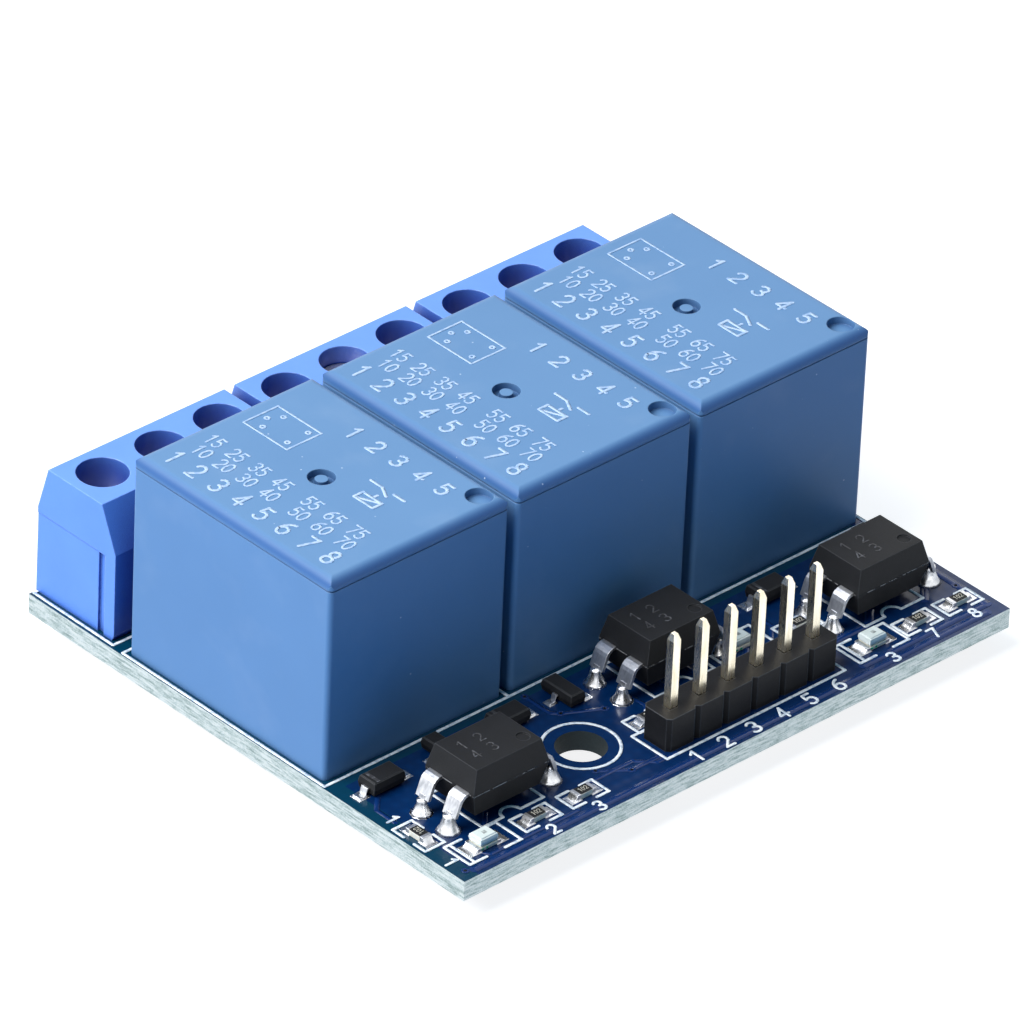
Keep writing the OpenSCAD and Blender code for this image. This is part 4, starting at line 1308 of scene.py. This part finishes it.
def floor_finish():
    finish = Finish("white table")
    speckle = finish.noise(0.02, 2)
    plain = finish.node("ShaderNodeBsdfDiffuse", inputs={
        0: finish.blend(speckle, (0.4, 0.4, 0.41, 1), (0.44, 0.44, 0.45, 1))})
    cool = finish.node("ShaderNodeBsdfDiffuse", inputs={
        0: finish.blend(speckle, (0.1, 0.31, 0.62, 1), (0.12, 0.33, 0.64, 1))})
    glow = finish.node("ShaderNodeEmission", inputs={0: (1, 1, 1, 1), 1: 0.86})
    white = finish.node("ShaderNodeAddShader", inputs={0: plain, 1: glow})
    choice = finish.node("ShaderNodeMixShader", inputs={0: seen_directly(finish), 1: cool, 2: white})
    finish.node("ShaderNodeOutputMaterial", inputs={"Surface": choice})
    return finish.material


TABLE = 3.0
floor_mesh = bpy.data.meshes.new("table")
floor_corners = [(-TABLE, -TABLE, 0), (TABLE, -TABLE, 0), (TABLE, TABLE, 0), (-TABLE, TABLE, 0)]
floor_mesh.from_pydata(floor_corners, [], [(0, 1, 2, 3)])
floor = bpy.data.objects.new("table", floor_mesh)
bpy.context.scene.collection.objects.link(floor)
floor_mesh.materials.append(floor_finish())
print("table of", 2 * TABLE, "m")

# %% [markdown]
# The sky is white for the camera and a little brighter still for mirrors, which gives the metal parts
# their shine. The light it really sheds is weak and blue, so the fronts of the relays stay in shade.

# %% Sky
world = bpy.data.worlds.new("sky")
bpy.context.scene.world = world
world.use_nodes = True
world.node_tree.nodes.clear()
sky = Nodes(world.node_tree)
from_camera = sky.node("ShaderNodeLightPath", output="Is Camera Ray")
from_mirror = Socket(sky, from_camera.link.node.outputs["Is Glossy Ray"])
through_glass = Socket(sky, from_camera.link.node.outputs["Is Transmission Ray"])
glow = sky.node("ShaderNodeBackground", inputs={
    0: (1, 1, 1, 1), 1: from_camera + through_glass + from_mirror * 1.5})
dim = sky.node("ShaderNodeBackground", inputs={0: (0.22, 0.66, 1, 1), 1: 0.22})
both = sky.node("ShaderNodeMixShader", inputs={
    0: from_camera + from_mirror + through_glass, 1: dim, 2: glow})
sky.node("ShaderNodeOutputWorld", inputs={"Surface": both})
print("sky with", len(world.node_tree.nodes), "nodes")

# %% [markdown]
# One big soft lamp stands on the left, a little behind the board, and looks down at it. It lights the
# tops and the left sides, and its size makes the edges of all shadows soft.

# %% Lamp
KEY_TOWARD, KEY_DISTANCE, KEY_SIZE, KEY_POWER = (-1.0, 0.35, 1.35), 0.6, 0.45, 6.3
key_lamp = bpy.data.lights.new("key", "AREA")
key_lamp.shape, key_lamp.size, key_lamp.energy = "SQUARE", KEY_SIZE, KEY_POWER
key = bpy.data.objects.new("key", key_lamp)
key.location = Vector(KEY_TOWARD).normalized() * KEY_DISTANCE
key.rotation_mode = "QUATERNION"
key.rotation_quaternion = (-key.location).to_track_quat("-Z", "Y")
bpy.context.scene.collection.objects.link(key)
print("lamp of", KEY_POWER, "W")

# %% [markdown]
# The camera looks down on the front left corner with a long lens, so lines that are parallel on the
# board stay nearly parallel in the picture. It also leans to one side by a few degrees.

# %% Camera
AIM = Vector((-0.15, 1.02, 9.95)) * MM
AZIMUTH, ELEVATION, LEAN = -44.106, 33.418, -2.603
DISTANCE, LENS_LENGTH = 0.7237, 389.2
a, e, lean = (math.radians(v) for v in (AZIMUTH, ELEVATION, LEAN))
back = Vector((math.sin(a) * math.cos(e), -math.cos(a) * math.cos(e), math.sin(e)))
right = Vector((math.cos(a), math.sin(a), 0))
up = back.cross(right)
leaning_right = right * math.cos(lean) - up * math.sin(lean)
leaning_up = up * math.cos(lean) + right * math.sin(lean)
camera = bpy.data.objects.new("camera", bpy.data.cameras.new("camera"))
bpy.context.scene.collection.objects.link(camera)
camera.data.lens, camera.data.sensor_width = LENS_LENGTH, 36.0
camera.data.clip_start, camera.data.clip_end = 0.05, 10.0
facing = Matrix((leaning_right, leaning_up, back)).transposed()
camera.matrix_world = Matrix.Translation(AIM + back * DISTANCE) @ facing.to_4x4()
bpy.context.scene.camera = camera
bpy.context.scene.view_settings.view_transform = "Standard"
print("camera at", [round(v, 3) for v in camera.location], "m")

# %% [markdown]
